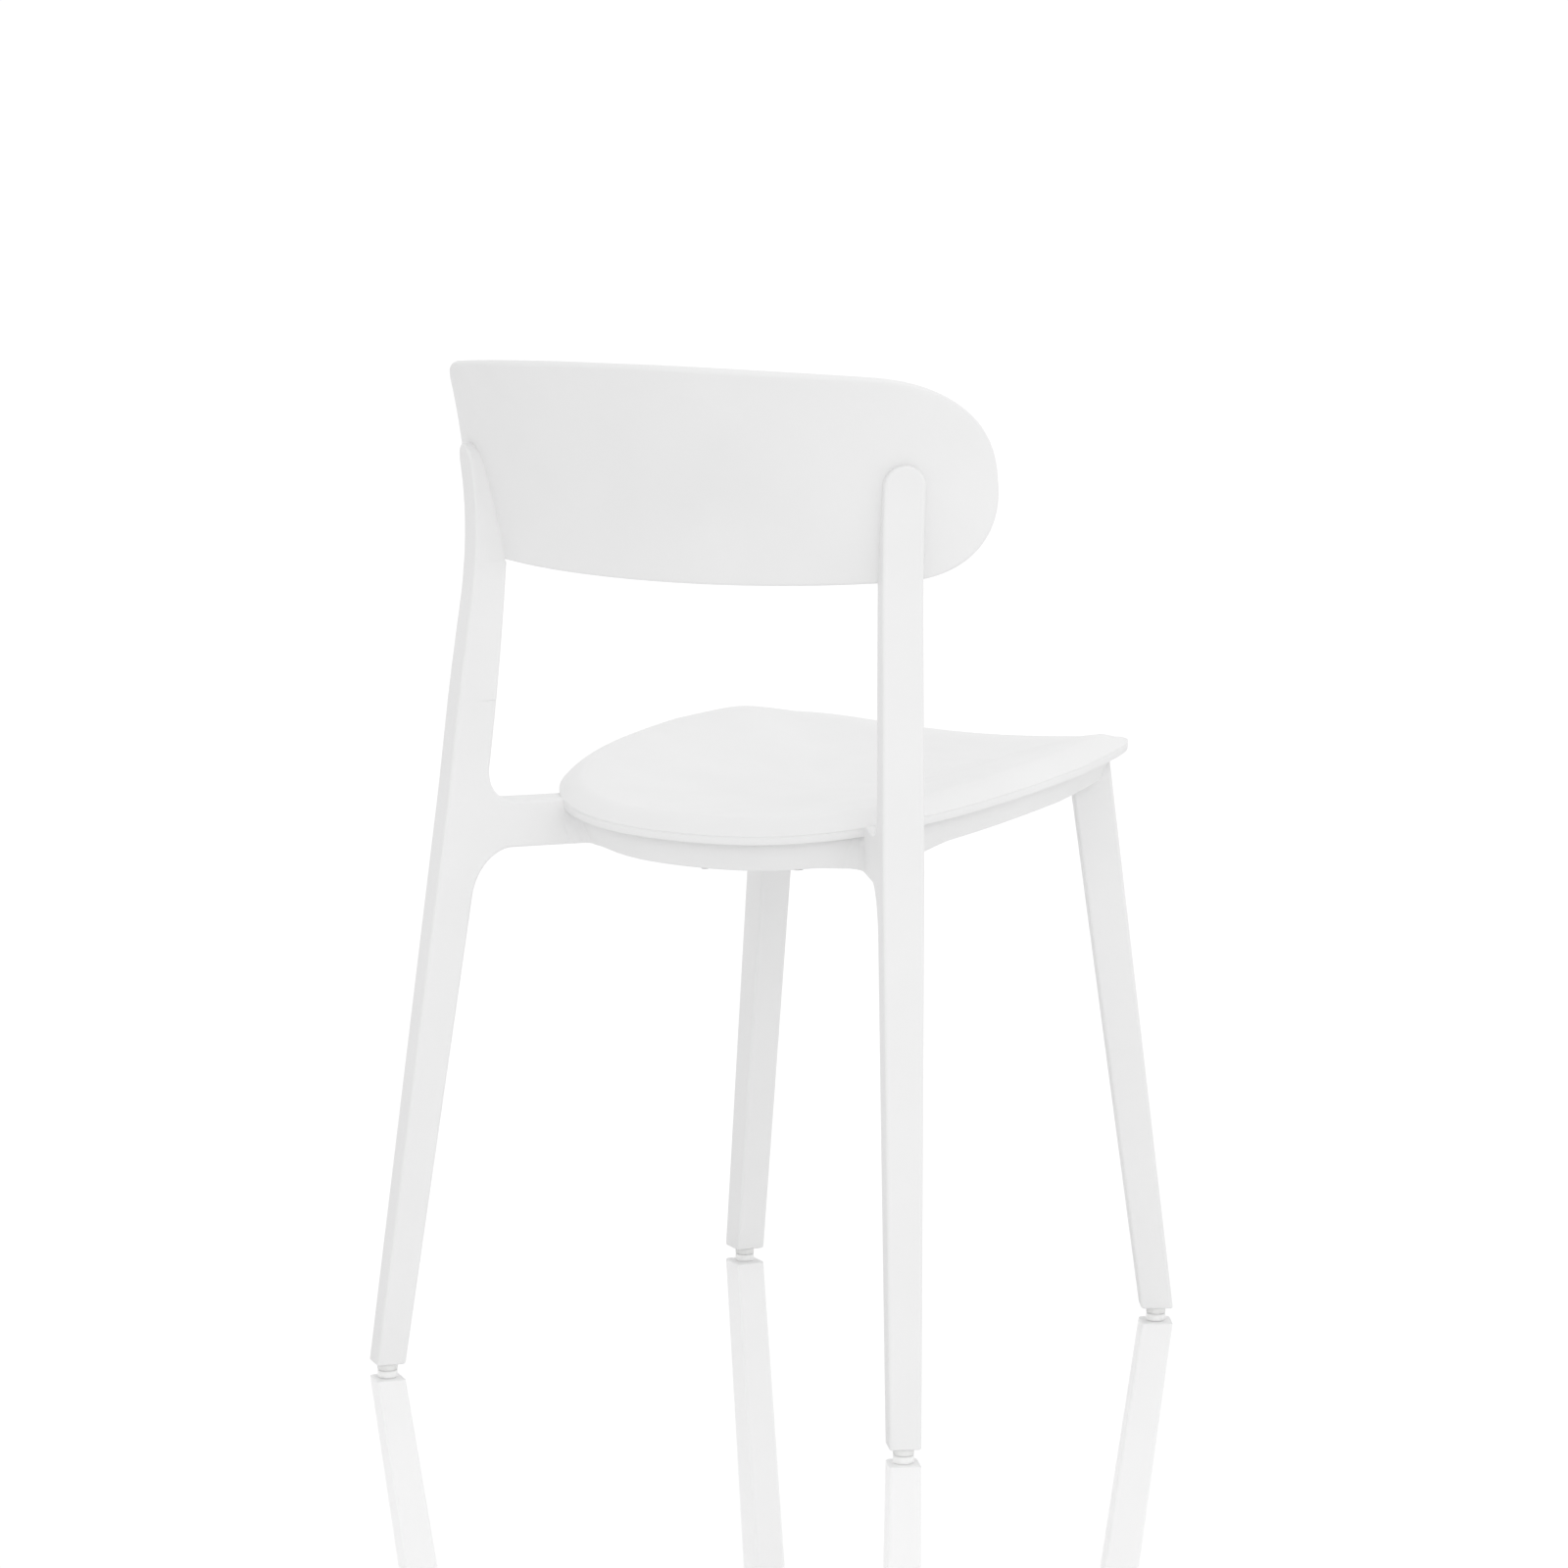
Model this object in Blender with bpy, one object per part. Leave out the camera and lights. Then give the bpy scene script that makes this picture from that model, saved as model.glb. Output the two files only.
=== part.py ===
"""White stacking chair: a dished seat on a ring, four tapered legs and a wrap-round back panel.

Metres, +Z up. The origin is on the floor under the middle of the chair's box. The sitter faces -Y, so
the sitter's left is +X. Every piece of the right side is the left side's piece mirrored in X.
"""
import math

import bmesh
import bpy
from mathutils import Vector

# ---- driving dimensions -------------------------------------------------------------------------
GAP = 0.0003                     # clearance between touching pieces

# Seat outline: a superellipse, rounder behind its widest point than in front of it
SEAT_HALF_WIDTH = 0.1952
SEAT_WIDEST_Y = -0.0998
SEAT_REAR_REACH = 0.2748
SEAT_FRONT_REACH = 0.1731
SEAT_REAR_POWER = 2.77
SEAT_FRONT_POWER = 4.465
SEAT_FRONT_TAPER = 0.1497        # the front narrows by this share over SEAT_SPAN
SEAT_SPAN = 0.21
REAR_STATIONS = 36               # stations round the outline behind its widest point
FRONT_STATIONS = 28              # and in front of it

# Height of the seat's lip: saddle-shaped, high at the sides and low at the rear
LIP_Z = 0.4455
LIP_MID_Y = -0.033
LIP_SLOPE = -0.01344
LIP_BOW = -0.00095
LIP_SIDE_RISE = 0.0126           # at LIP_SIDE from the middle
LIP_SIDE = 0.189
LIP_SIDE_TWIST = 0.0005
LIP_FRONT_DIP = -0.00315

SEAT_ROLL = 0.0189               # inward reach of the rolled edge
SEAT_CREST = 0.01155             # rise of the rolled edge above the lip
SEAT_CREST_FRONT = 0.0004        # the same along the front edge
SEAT_EDGE_POWER = 1.8            # how the edge falls from its crest to the lip
SEAT_WALL = 0.004
SEAT_BAND = 0.0070               # upright band under the lip
BAND_STEP = 0.0004               # the band stands in from the lip by this
SEAT_CENTRE = (0.0, -0.030, 0.4385)
DISH_POWER = 1.6                 # how the dish climbs from its middle to the crest

# Ring under the seat: its outer face as (in from the seat's outline, down from the lip), set back
# under the band. The first row's depth is the joint with the seat, worked out at each station.
RING_PROFILE = (
    (0.0173, 0.0), (0.0178, 0.0085), (0.0186, 0.0180), (0.0194, 0.0265), (0.0203, 0.0287), (0.0225, 0.0295))
RING_HEIGHT = 0.0295
RING_INNER = 0.044               # inner face, in from the seat's outline
RING_WALL = 0.003
RING_TOP_GAP = 0.0009            # below the seat's underside, at the outer wall
RING_INNER_GAP = 0.0028          # the same at the inner wall, which bears nothing

# Legs: centre, width and depth at the foot and at the ring, in plan
FOOT_Z = 0.006
KNEE_Z = 0.420
REAR_FOOT = (0.2310, 0.2400)
REAR_KNEE = (0.1968, 0.1877)
REAR_TURN = math.radians(38.4)   # the outer face looks this far from +Y towards the side
REAR_WIDTH = (0.0236, 0.0310)
REAR_DEPTH = (0.0230, 0.0303)
FRONT_FOOT = (0.1958, -0.2285)
FRONT_KNEE = (0.1486, -0.2015)
FRONT_TURN = math.radians(56.6)  # the outer face looks this far from -Y towards the side
FRONT_WIDTH = (0.0247, 0.0278)
FRONT_DEPTH = (0.0255, 0.0319)
LEG_ROUND = 0.0025

# Arm from the rear leg to the ring, and the tongue behind the back panel
ARM_TOP = 0.4414
ARM_BOTTOM = 0.4055
ARM_FILLET_TOP = 0.019
ARM_FILLET_BOTTOM = 0.036
ARM_REACH = 0.115
ARM_FLARE_START = 0.078          # where the arm starts to widen into the ring
ARM_FLARE = 0.008
ARM_DROP = 0.020                 # the arm ends at the ring's outer face this far below it too
TONGUE_WIDTH = 0.0306
TONGUE_TOP = 0.7160
STEP_Z = 0.6262                  # ledge that the back panel's lower edge sits over

# Back panel: an outline in developed width and height, bent in plan and leant back
BACK_Y = 0.1943
BACK_Z = 0.6212
BACK_HEIGHT = 0.1655
BACK_HALF = 0.2602
BACK_END = 0.0762
BACK_POWER = 2.47
BACK_CROWN = 0.0089              # fall of the top edge at BACK_SPAN from the middle
BACK_SAG = 0.0096                # rise of the lower edge there
BACK_SPAN = 0.21
BACK_RADIUS = 0.640              # plan radius at the middle
BACK_TIGHTEN = 19.1              # growth of the bend towards the ends, per square metre
BACK_LEAN = 0.2745
BACK_LEAN_LOSS = 0.2127          # the ends lean back less, by this at BACK_SPAN
BACK_FLARE = 1.262               # the top leans back further, per metre
BACK_WALL = 0.0060

# Small parts
GLIDE_RADIUS = 0.0078
GLIDE_STEM = (0.0030, 0.014)
SCREW_SHANK = 0.0016
SCREW_HEAD = 0.0036
PILOT = 0.0020
BOSS_RADIUS = 0.0038
BOSS_FOOT_GAP = 0.0012           # the boss stops this far above the ring's floor
HEAD_GAP = 0.0007                # under a screw head or a pad, on the gently sloping ring
CHANNEL_INSET = 0.0320           # screws in the ring's floor, in from the outline
PAD_INSET = 0.0350               # stacking pads, the same
PAD_DROP = 0.0017                # they stand below the ring by this
# Places round the outline, counted in stations from the sitter's left through the rear
SEAT_SCREWS = (4, 18, 32, 40, 50, 60)
ARM_SCREWS = (9.86, 10.73)       # the left arm's two screws; the right arm's mirror them
PADS = (14, 22, 46, 54)
SCREW_SEGMENTS = 10


# ---- general helpers ----------------------------------------------------------------------------
def lerp(a, b, share):
    return a + (b - a) * share


def clamp(value, low, high):
    return max(low, min(high, value))


def smooth_step(value):
    value = clamp(value, 0.0, 1.0)
    return value * value * (3.0 - 2.0 * value)


def signed_power(value, power):
    return math.copysign(abs(value) ** power, value)


def plastic(name, colour, roughness):
    material = bpy.data.materials.new(name)
    material.use_nodes = True
    shader = material.node_tree.nodes["Principled BSDF"]
    shader.inputs["Base Color"].default_value = (*colour, 1.0)
    shader.inputs["Roughness"].default_value = roughness
    return material


def metal(name, colour, roughness):
    material = plastic(name, colour, roughness)
    material.node_tree.nodes["Principled BSDF"].inputs["Metallic"].default_value = 1.0
    return material


def add_object(name, bm, material=None, smooth_angle=35.0):
    bmesh.ops.recalc_face_normals(bm, faces=bm.faces)
    mesh = bpy.data.meshes.new(name)
    bm.to_mesh(mesh)
    bm.free()
    obj = bpy.data.objects.new(name, mesh)
    bpy.context.scene.collection.objects.link(obj)
    if material:
        mesh.materials.append(material)
    mesh.shade_smooth()
    mesh.set_sharp_from_angle(angle=math.radians(smooth_angle))
    return obj


def cutter(name, bm):
    obj = add_object(name, bm)
    obj.hide_render = True
    obj.display_type = "WIRE"
    return obj


def cut(obj, tool):
    boolean = obj.modifiers.new(tool.name, "BOOLEAN")
    boolean.operation = "DIFFERENCE"
    boolean.solver = "EXACT"
    boolean.object = tool


def loft(bm, rings, closed=False, caps=True):
    """Skin equal rings of points; caps close the two ends with a face or, for one point, a fan."""
    loops = [[bm.verts.new(point) for point in ring] for ring in rings]
    pairs = list(zip(loops, loops[1:]))
    if closed:
        pairs.append((loops[-1], loops[0]))
    for lower, upper in pairs:
        count = max(len(lower), len(upper))
        for i in range(count):
            j = (i + 1) % count
            if len(lower) == 1:
                bm.faces.new((lower[0], upper[j], upper[i]))
            elif len(upper) == 1:
                bm.faces.new((lower[i], lower[j], upper[0]))
            else:
                bm.faces.new((lower[i], lower[j], upper[j], upper[i]))
    if caps and not closed:
        for loop in (loops[0], loops[-1]):
            if len(loop) > 1:
                bm.faces.new(loop)
    return loops


def turned(bm, base, axis, profile, segments=SCREW_SEGMENTS):
    """A solid of revolution: profile is (radius, distance along axis), a radius of 0 at both ends."""
    axis = Vector(axis).normalized()
    side = axis.orthogonal().normalized()
    across = axis.cross(side)
    rings = []
    for radius, along in profile:
        centre = Vector(base) + axis * along
        if radius == 0.0:
            rings.append([centre])
            continue
        turns = [2.0 * math.pi * i / segments for i in range(segments)]
        rings.append([centre + (side * math.cos(t) + across * math.sin(t)) * radius for t in turns])
    loft(bm, rings)


# ---- seat outline -------------------------------------------------------------------------------
def outline_point(angle):
    c, s = math.cos(angle), math.sin(angle)
    power = SEAT_REAR_POWER if s > 0.0 else SEAT_FRONT_POWER
    reach = SEAT_REAR_REACH if s > 0.0 else SEAT_FRONT_REACH
    ahead = reach * signed_power(s, 2.0 / power)
    taper = 1.0 + SEAT_FRONT_TAPER * min(ahead, 0.0) / SEAT_SPAN
    return Vector((SEAT_HALF_WIDTH * signed_power(c, 2.0 / power) * taper, SEAT_WIDEST_Y + ahead, 0.0))


def even_outline(rear_count, front_count):
    """Points evenly spaced round each half of the outline, from the sitter's left through the rear."""
    fine = 2000
    even = []
    for count, first in ((rear_count, 0.0), (front_count, math.pi)):
        points = [outline_point(first + math.pi * i / fine) for i in range(fine + 1)]
        run = [0.0]
        for a, b in zip(points, points[1:]):
            run.append(run[-1] + (b - a).length)
        at = 0
        for i in range(count):
            goal = run[-1] * i / count
            while run[at + 1] < goal:
                at += 1
            even.append(points[at].lerp(points[at + 1], (goal - run[at]) / (run[at + 1] - run[at])))
    return even


def lip_height(x, y):
    v = (y - LIP_MID_Y) / SEAT_SPAN
    across = (x / LIP_SIDE) ** 2
    dip = LIP_FRONT_DIP * v ** 4 * (1.0 - across) if v < 0.0 else 0.0
    side = across * (LIP_SIDE_RISE + LIP_SIDE_TWIST * v)
    return LIP_Z + LIP_SLOPE * v + LIP_BOW * v * v + side + dip


class Station:
    """One place on the seat's outline: its point, its inward direction and its lip height."""

    def __init__(self, before, here, after):
        tangent = (after - before).normalized()
        self.point = here
        self.inward = Vector((-tangent.y, tangent.x, 0.0))
        self.lip = lip_height(here.x, here.y)
        self.front = clamp((-0.159 - here.y) / 0.105, 0.0, 1.0)

    def at(self, inset, below):
        """The point that far inside the outline and that far below the lip."""
        place = self.point + self.inward * inset
        return Vector((place.x, place.y, self.lip - below))


def seat_stations():
    points = even_outline(REAR_STATIONS, FRONT_STATIONS)
    count = len(points)
    return [Station(points[i - 1], points[i], points[(i + 1) % count]) for i in range(count)]


# ---- seat shell ---------------------------------------------------------------------------------
def crest_rise(station):
    return lerp(SEAT_CREST, SEAT_CREST_FRONT, station.front)


def dish(station, share):
    """A point of the dished top: share is 0 at the seat's centre and 1 at its crest."""
    crest = station.at(SEAT_ROLL, -crest_rise(station))
    centre = Vector(SEAT_CENTRE)
    point = centre.lerp(crest, share)
    point.z = lerp(centre.z, crest.z, 1.0 - (1.0 - share * share) ** DISH_POWER)
    return point


def dish_depth(station, inset):
    """Depth of the dished top below the lip, at a place inside the crest."""
    length = (station.point - Vector(SEAT_CENTRE)).xy.length - SEAT_ROLL
    return station.lip - dish(station, 1.0 - (inset - SEAT_ROLL) / length).z


def seat_shell(stations, material):
    bm = bmesh.new()
    rings = [[Vector(SEAT_CENTRE)]]
    for share in (0.25, 0.5, 0.70, 0.86, 1.0):
        rings.append([dish(s, share) for s in stations])
    for share in (0.30, 0.55, 0.80, 1.0):
        drop = 1.0 - share ** SEAT_EDGE_POWER
        rings.append([s.at(SEAT_ROLL * (1.0 - share), -crest_rise(s) * drop) for s in stations])
    rings.append([s.at(BAND_STEP, 0.0010) for s in stations])
    rings.append([s.at(BAND_STEP, SEAT_BAND) for s in stations])
    rings.append([s.at(SEAT_WALL, SEAT_BAND) for s in stations])
    for turn in (90.0, 45.0, 0.0):
        out = lerp(SEAT_ROLL, SEAT_WALL, math.sin(math.radians(turn)))
        drop = math.cos(math.radians(turn))
        rings.append([s.at(out, lerp(SEAT_BAND / 2.0, SEAT_WALL - crest_rise(s), drop)) for s in stations])
    for share in (0.86, 0.70, 0.5, 0.25):
        rings.append([dish(s, share) - Vector((0.0, 0.0, SEAT_WALL)) for s in stations])
    rings.append([Vector(SEAT_CENTRE) - Vector((0.0, 0.0, SEAT_WALL))])
    loft(bm, rings)
    shell = add_object("seat_shell", bm, material)
    bosses = bmesh.new()
    pilots = bmesh.new()
    for station in screw_stations(stations):
        foot = station.at(CHANNEL_INSET, RING_HEIGHT - RING_WALL - BOSS_FOOT_GAP)
        height = RING_HEIGHT - RING_WALL - BOSS_FOOT_GAP - dish_depth(station, CHANNEL_INSET) - SEAT_WALL / 2.0
        turned(bosses, foot, (0, 0, 1), [(0, 0), (BOSS_RADIUS, 0), (BOSS_RADIUS, height), (0, height)])
        turned(pilots, foot, (0, 0, 1), [(0, -0.002), (PILOT, -0.002), (PILOT, 0.015), (0, 0.015)])
    union = shell.modifiers.new("bosses", "BOOLEAN")
    union.operation = "UNION"
    union.solver = "EXACT"
    union.object = cutter("boss_tool", bosses)
    cut(shell, cutter("pilot_tool", pilots))
    return shell


def screw_stations(stations):
    return [stations[number] for number in SEAT_SCREWS]


# ---- seat ring ----------------------------------------------------------------------------------
def ring_outer(station, row):
    inset, depth = RING_PROFILE[row]
    if row == 0:
        depth = SEAT_WALL - crest_rise(station) + RING_TOP_GAP
    return inset, depth


def ring_section(station):
    outer = [ring_outer(station, row) for row in range(6)]
    floor = RING_HEIGHT - RING_WALL
    inside = [(inset + RING_WALL, min(depth, floor)) for inset, depth in outer[:5]]
    top = dish_depth(station, RING_INNER) + SEAT_WALL + RING_INNER_GAP
    inner = [(RING_INNER, RING_HEIGHT), (RING_INNER, top)]
    inner += [(RING_INNER - RING_WALL, top), (RING_INNER - RING_WALL, floor)]
    return [station.at(*place) for place in outer + inner + inside[::-1]]


def seat_ring(stations, material):
    bm = bmesh.new()
    loft(bm, [ring_section(s) for s in stations], closed=True)
    ring = add_object("seat_ring", bm, material)
    holes = bmesh.new()
    for place, axis, reach in ring_holes(stations):
        length = reach[1] - reach[0]
        start = place + axis * reach[0]
        turned(holes, start, axis, [(0, 0), (PILOT, 0), (PILOT, length), (0, length)])
    cut(ring, cutter("ring_hole_tool", holes))
    return ring


def ring_holes(stations):
    """Every screw and pad hole in the ring: where, along which way, and from where to where."""
    holes = []
    for station in screw_stations(stations):
        holes.append((station.at(CHANNEL_INSET, RING_HEIGHT), Vector((0, 0, 1)), (-0.002, 0.006)))
    for number in PADS:
        station = stations[number]
        holes.append((station.at(PAD_INSET, RING_HEIGHT), Vector((0, 0, 1)), (-0.002, 0.006)))
    for side in (1, -1):
        for base, axis in arm_screw_places(side):
            holes.append((base, axis, (-0.004, 0.006)))
        for base in front_screw_places(side, stations):
            holes.append((base, Vector((0, 0, -1)), (-0.001, 0.006)))
    return holes


# ---- leg frames ---------------------------------------------------------------------------------
def leg_frame(side, turn, forward):
    """Outward and sideways unit directions of a turned leg; forward is 1 at the rear, -1 in front."""
    outward = Vector((side * math.sin(turn), forward * math.cos(turn), 0.0))
    sideways = Vector((-side * math.cos(turn), forward * math.sin(turn), 0.0))
    return outward, sideways


def leg_centre(side, foot, knee, z):
    share = (z - FOOT_Z) / (KNEE_Z - FOOT_Z)
    return Vector((side * lerp(foot[0], knee[0], share), lerp(foot[1], knee[1], share), z))


def leg_size(pair, z):
    return lerp(pair[0], pair[1], (z - FOOT_Z) / (KNEE_Z - FOOT_Z))


def rounded_square(half_out, half_side, radius, steps=3):
    corners = ((1, 1, 0), (-1, 1, 90), (-1, -1, 180), (1, -1, 270))
    points = []
    for a, b, start in corners:
        for i in range(steps):
            turn = math.radians(start + 90.0 * i / (steps - 1))
            out = a * (half_out - radius) + radius * math.cos(turn)
            across = b * (half_side - radius) + radius * math.sin(turn)
            points.append((out, across))
    return points


# ---- space that the seat and ring keep clear of the legs -------------------------------------------
def seat_envelope(name, stations, below):
    """A solid round the seat and ring, with the clearance that legs and arms keep to them.

    It reaches that far below the ring.
    """
    bm = bmesh.new()
    low = RING_HEIGHT + below
    top = 0.70
    rings = [[Vector((0.0, SEAT_WIDEST_Y, LIP_Z - 0.02))]]
    rings.append([s.at(RING_INNER + GAP, low) for s in stations])
    if below > GAP:
        rings.append([Vector((*envelope_face(s, 5).xy, s.at(0.0, low).z)) for s in stations])
    for row in (5, 4, 3, 2):
        rings.append([envelope_face(s, row) for s in stations])
    under = SEAT_BAND + GAP
    rings.append([s.at(RING_PROFILE[1][0] - GAP, under) for s in stations])
    rings.append([s.at(BAND_STEP - GAP, under) for s in stations])
    rings.append([s.at(-GAP, 0.0) for s in stations])
    rings.append([Vector((*s.at(-GAP, 0.0).xy, top)) for s in stations])
    rings.append([Vector((0.0, SEAT_WIDEST_Y, top))])
    loft(bm, rings)
    return cutter(name, bm)


def envelope_face(station, row):
    inset, depth = ring_outer(station, row)
    return station.at(inset - GAP, depth + (GAP if row > 3 else 0.0))


# ---- front legs ---------------------------------------------------------------------------------
def front_leg(side, name, material, envelope):
    bm = bmesh.new()
    outward, sideways = leg_frame(side, FRONT_TURN, -1)
    rings = []
    for z in (FOOT_Z, 0.11, 0.21, 0.31, 0.40, 0.470):
        centre = leg_centre(side, FRONT_FOOT, FRONT_KNEE, z)
        half_out = leg_size(FRONT_DEPTH, z) / 2.0
        half_side = leg_size(FRONT_WIDTH, z) / 2.0
        section = rounded_square(half_out, half_side, LEG_ROUND)
        rings.append([centre + outward * a + sideways * b for a, b in section])
    loft(bm, rings)
    leg = add_object(name, bm, material)
    cut(leg, envelope)
    holes = bmesh.new()
    stem_hole(holes, leg_centre(side, FRONT_FOOT, FRONT_KNEE, FOOT_Z))
    for place in front_screw_places(side, RING_STATIONS):
        turned(holes, place, (0, 0, -1), [(0, -0.002), (PILOT, -0.002), (PILOT, 0.024), (0, 0.024)])
    cut(leg, cutter(name + "_hole_tool", holes))
    return leg


def front_screw_places(side, stations):
    """Top face of the ring's floor over the two screws that hold one front leg."""
    knee = leg_centre(side, FRONT_FOOT, FRONT_KNEE, KNEE_Z)
    outward, sideways = leg_frame(side, FRONT_TURN, -1)
    places = []
    for across in (-0.006, 0.006):
        place = knee - outward * 0.0045 + sideways * across
        near = min(stations, key=lambda s: (s.at(CHANNEL_INSET, 0.0).xy - place.xy).length)
        floor = near.lip - RING_HEIGHT + RING_WALL
        places.append(Vector((place.x, place.y, floor)))
    return places


def stem_hole(bm, foot):
    radius, length = GLIDE_STEM
    radius += GAP
    turned(bm, foot, (0, 0, 1), [(0, -0.002), (radius, -0.002), (radius, length + 0.001), (0, length + 0.001)])


# ---- back panel surface -------------------------------------------------------------------------
def back_bend():
    """Plan curve of the back panel's rear face, as samples of width, x and y."""
    steps = 320
    step = 0.32 / steps
    rows = [(0.0, 0.0, 0.0)]
    for i in range(steps):
        width = (i + 0.5) * step
        turn = width / BACK_RADIUS * (1.0 + BACK_TIGHTEN * width * width)
        rows.append((rows[-1][0] + step, rows[-1][1] + math.cos(turn) * step, rows[-1][2] - math.sin(turn) * step))
    return rows


BACK_BEND = back_bend()


def bend_at(value, column):
    """Interpolate the plan curve by its width (column 0) or its x (column 1)."""
    rows = BACK_BEND
    low, high = 0, len(rows) - 1
    while high - low > 1:
        middle = (low + high) // 2
        if rows[middle][column] > value:
            high = middle
        else:
            low = middle
    share = (value - rows[low][column]) / (rows[high][column] - rows[low][column])
    return [lerp(a, b, share) for a, b in zip(rows[low], rows[high])]


def back_rear(width, height):
    """Point of the panel's rear face at a developed width and a height above its lower edge."""
    _, x, y = bend_at(abs(width), 0)
    lean = BACK_LEAN - BACK_LEAN_LOSS * (width / BACK_SPAN) ** 2
    rise = height
    return Vector((math.copysign(x, width), BACK_Y + y + lean * rise + BACK_FLARE * rise * rise, BACK_Z + rise))


def back_normal(width, height):
    step = 0.001
    along = back_rear(width + step, height) - back_rear(width - step, height)
    up = back_rear(width, height + step) - back_rear(width, height - step)
    return up.cross(along).normalized()


def back_rear_y(x, z):
    """Y of the rear face's surface at an x and a z."""
    width = bend_at(abs(x), 1)[0]
    return back_rear(width, z - BACK_Z).y


def back_outline(count):
    """Outline of the panel in developed width and height, anticlockwise from the left end."""
    quarter = count // 4
    points = []
    for i in range(count):
        part, step = divmod(i, quarter)
        share = step / quarter
        walk = share if part % 2 == 0 else 1.0 - share
        ends = 0.6
        if walk < ends:
            turn = math.pi / 2.0 * walk / ends
            x = BACK_HALF - BACK_END + BACK_END * math.cos(turn) ** (2.0 / BACK_POWER)
            z = BACK_HEIGHT / 2.0 * math.sin(turn) ** (2.0 / BACK_POWER)
        else:
            x = (BACK_HALF - BACK_END) * (1.0 - (walk - ends) / (1.0 - ends))
            z = BACK_HEIGHT / 2.0
        points.append((x if part in (0, 3) else -x, z if part in (0, 1) else -z))
    return points


def back_height(width, z):
    """Height above the lower edge, with the crowned top and the lower edge's rise."""
    pull = (width / BACK_SPAN) ** 2 * abs(z) / (BACK_HEIGHT / 2.0)
    return BACK_HEIGHT / 2.0 + z + (-BACK_CROWN if z > 0.0 else BACK_SAG) * pull


def backrest(material):
    outline = back_outline(80)
    span = BACK_HALF - BACK_END
    edge = [(0.0030, 0.0), (0.0009, 0.0009), (0.0, 0.0030), (0.0009, BACK_WALL - 0.0009), (0.0030, BACK_WALL)]
    insets = (0.074, 0.060, 0.040, 0.020)
    rows = [(inset, 0.0) for inset in insets] + edge + [(inset, BACK_WALL) for inset in insets[::-1]]
    bm = bmesh.new()
    rings = []
    for inset, depth in rows:
        ring = []
        for width, z in outline:
            core = Vector((clamp(width, -span, span), 0.0))
            arm = Vector((width, z)) - core
            place = core + arm * (1.0 - inset / max(arm.length, 0.001))
            height = back_height(place.x, place.y)
            point = back_rear(place.x, height) - back_normal(place.x, height) * depth
            ring.append(point)
        rings.append(ring)
    loops = loft(bm, rings, caps=False)
    for loop in (loops[0], loops[-1]):
        fill_strip(bm, loop)
    panel = add_object("backrest", bm, material)
    holes = bmesh.new()
    for side in (1, -1):
        for base, axis in back_screw_places(side):
            head = SCREW_HEAD + 0.0006
            profile = [(0, -0.004), (head, -0.004), (head, 0.0030), (PILOT, 0.0030), (PILOT, 0.010), (0, 0.010)]
            turned(holes, base, axis, profile)
    cut(panel, cutter("back_hole_tool", holes))
    return panel


def fill_strip(bm, loop):
    """Close a mirror-symmetric loop with quads between its upper and lower halves."""
    half = len(loop) // 2
    for i in range(half):
        upper = (loop[i], loop[i + 1])
        lower = (loop[(len(loop) - i - 1) % len(loop)], loop[(len(loop) - i) % len(loop)])
        corners = []
        for vert in (upper[0], upper[1], lower[0], lower[1]):
            if vert not in corners:
                corners.append(vert)
        bm.faces.new(corners)


def back_screw_places(side):
    """Front face of the panel at each screw, and the way the screw points."""
    places = []
    outward, sideways = leg_frame(side, REAR_TURN, 1)
    for z in (0.640, 0.664):
        centre = leg_centre(side, REAR_FOOT, REAR_KNEE, z)
        reach = tongue_inner(side, 0.0, z) - GAP - BACK_WALL
        base = centre + outward * reach
        places.append((base, outward))
    return places


# ---- rear legs ----------------------------------------------------------------------------------
def tongue_inner(side, across, z):
    """How far out from the leg's centre line the tongue's flat inner face lies, to clear the panel."""
    edge = math.copysign(TONGUE_WIDTH / 2.0, across) if across else 0.0
    near, far = panel_reach(side, edge, z), panel_reach(side, -edge, z)
    slope = (near - far) / TONGUE_WIDTH
    middle = panel_reach(side, 0.0, z)
    return middle + slope * abs(across) + GAP * 2.0


def panel_reach(side, across, z):
    """How far out from the leg's centre line the panel's rear face lies."""
    outward, sideways = leg_frame(side, REAR_TURN, 1)
    start = leg_centre(side, REAR_FOOT, REAR_KNEE, z) + sideways * across
    low, high = -0.05, 0.08
    for _ in range(30):
        reach = (low + high) / 2.0
        place = start + outward * reach
        if place.y > back_rear_y(place.x, z):
            high = reach
        else:
            low = reach
    return high


def outer_reach(z):
    """Outer face of the rear leg, measured out from its centre line."""
    if z < KNEE_Z:
        return leg_size(REAR_DEPTH, z) / 2.0
    knee = REAR_DEPTH[1] / 2.0
    straight = knee + 0.0026 * smooth_step((z - KNEE_Z) / 0.13)
    return straight + 1.42 * max(z - 0.620, 0.0) ** 2 + 0.055 * max(z - 0.605, 0.0)


def inner_reach(z):
    """Inner face of the rear leg up to the ledge under the back panel."""
    if z < KNEE_Z:
        return -leg_size(REAR_DEPTH, z) / 2.0
    return -REAR_DEPTH[1] / 2.0 + 0.0085 * ((z - KNEE_Z) / (STEP_Z - KNEE_Z)) ** 2


def tongue_half_width(z):
    if z < KNEE_Z:
        return leg_size(REAR_WIDTH, z) / 2.0
    half = lerp(REAR_WIDTH[1], TONGUE_WIDTH, smooth_step((z - KNEE_Z) / 0.1)) / 2.0
    start = TONGUE_TOP - half
    if z <= start:
        return half
    return half * math.sqrt(max(1.0 - ((z - start) / half) ** 2, 0.0))


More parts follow.
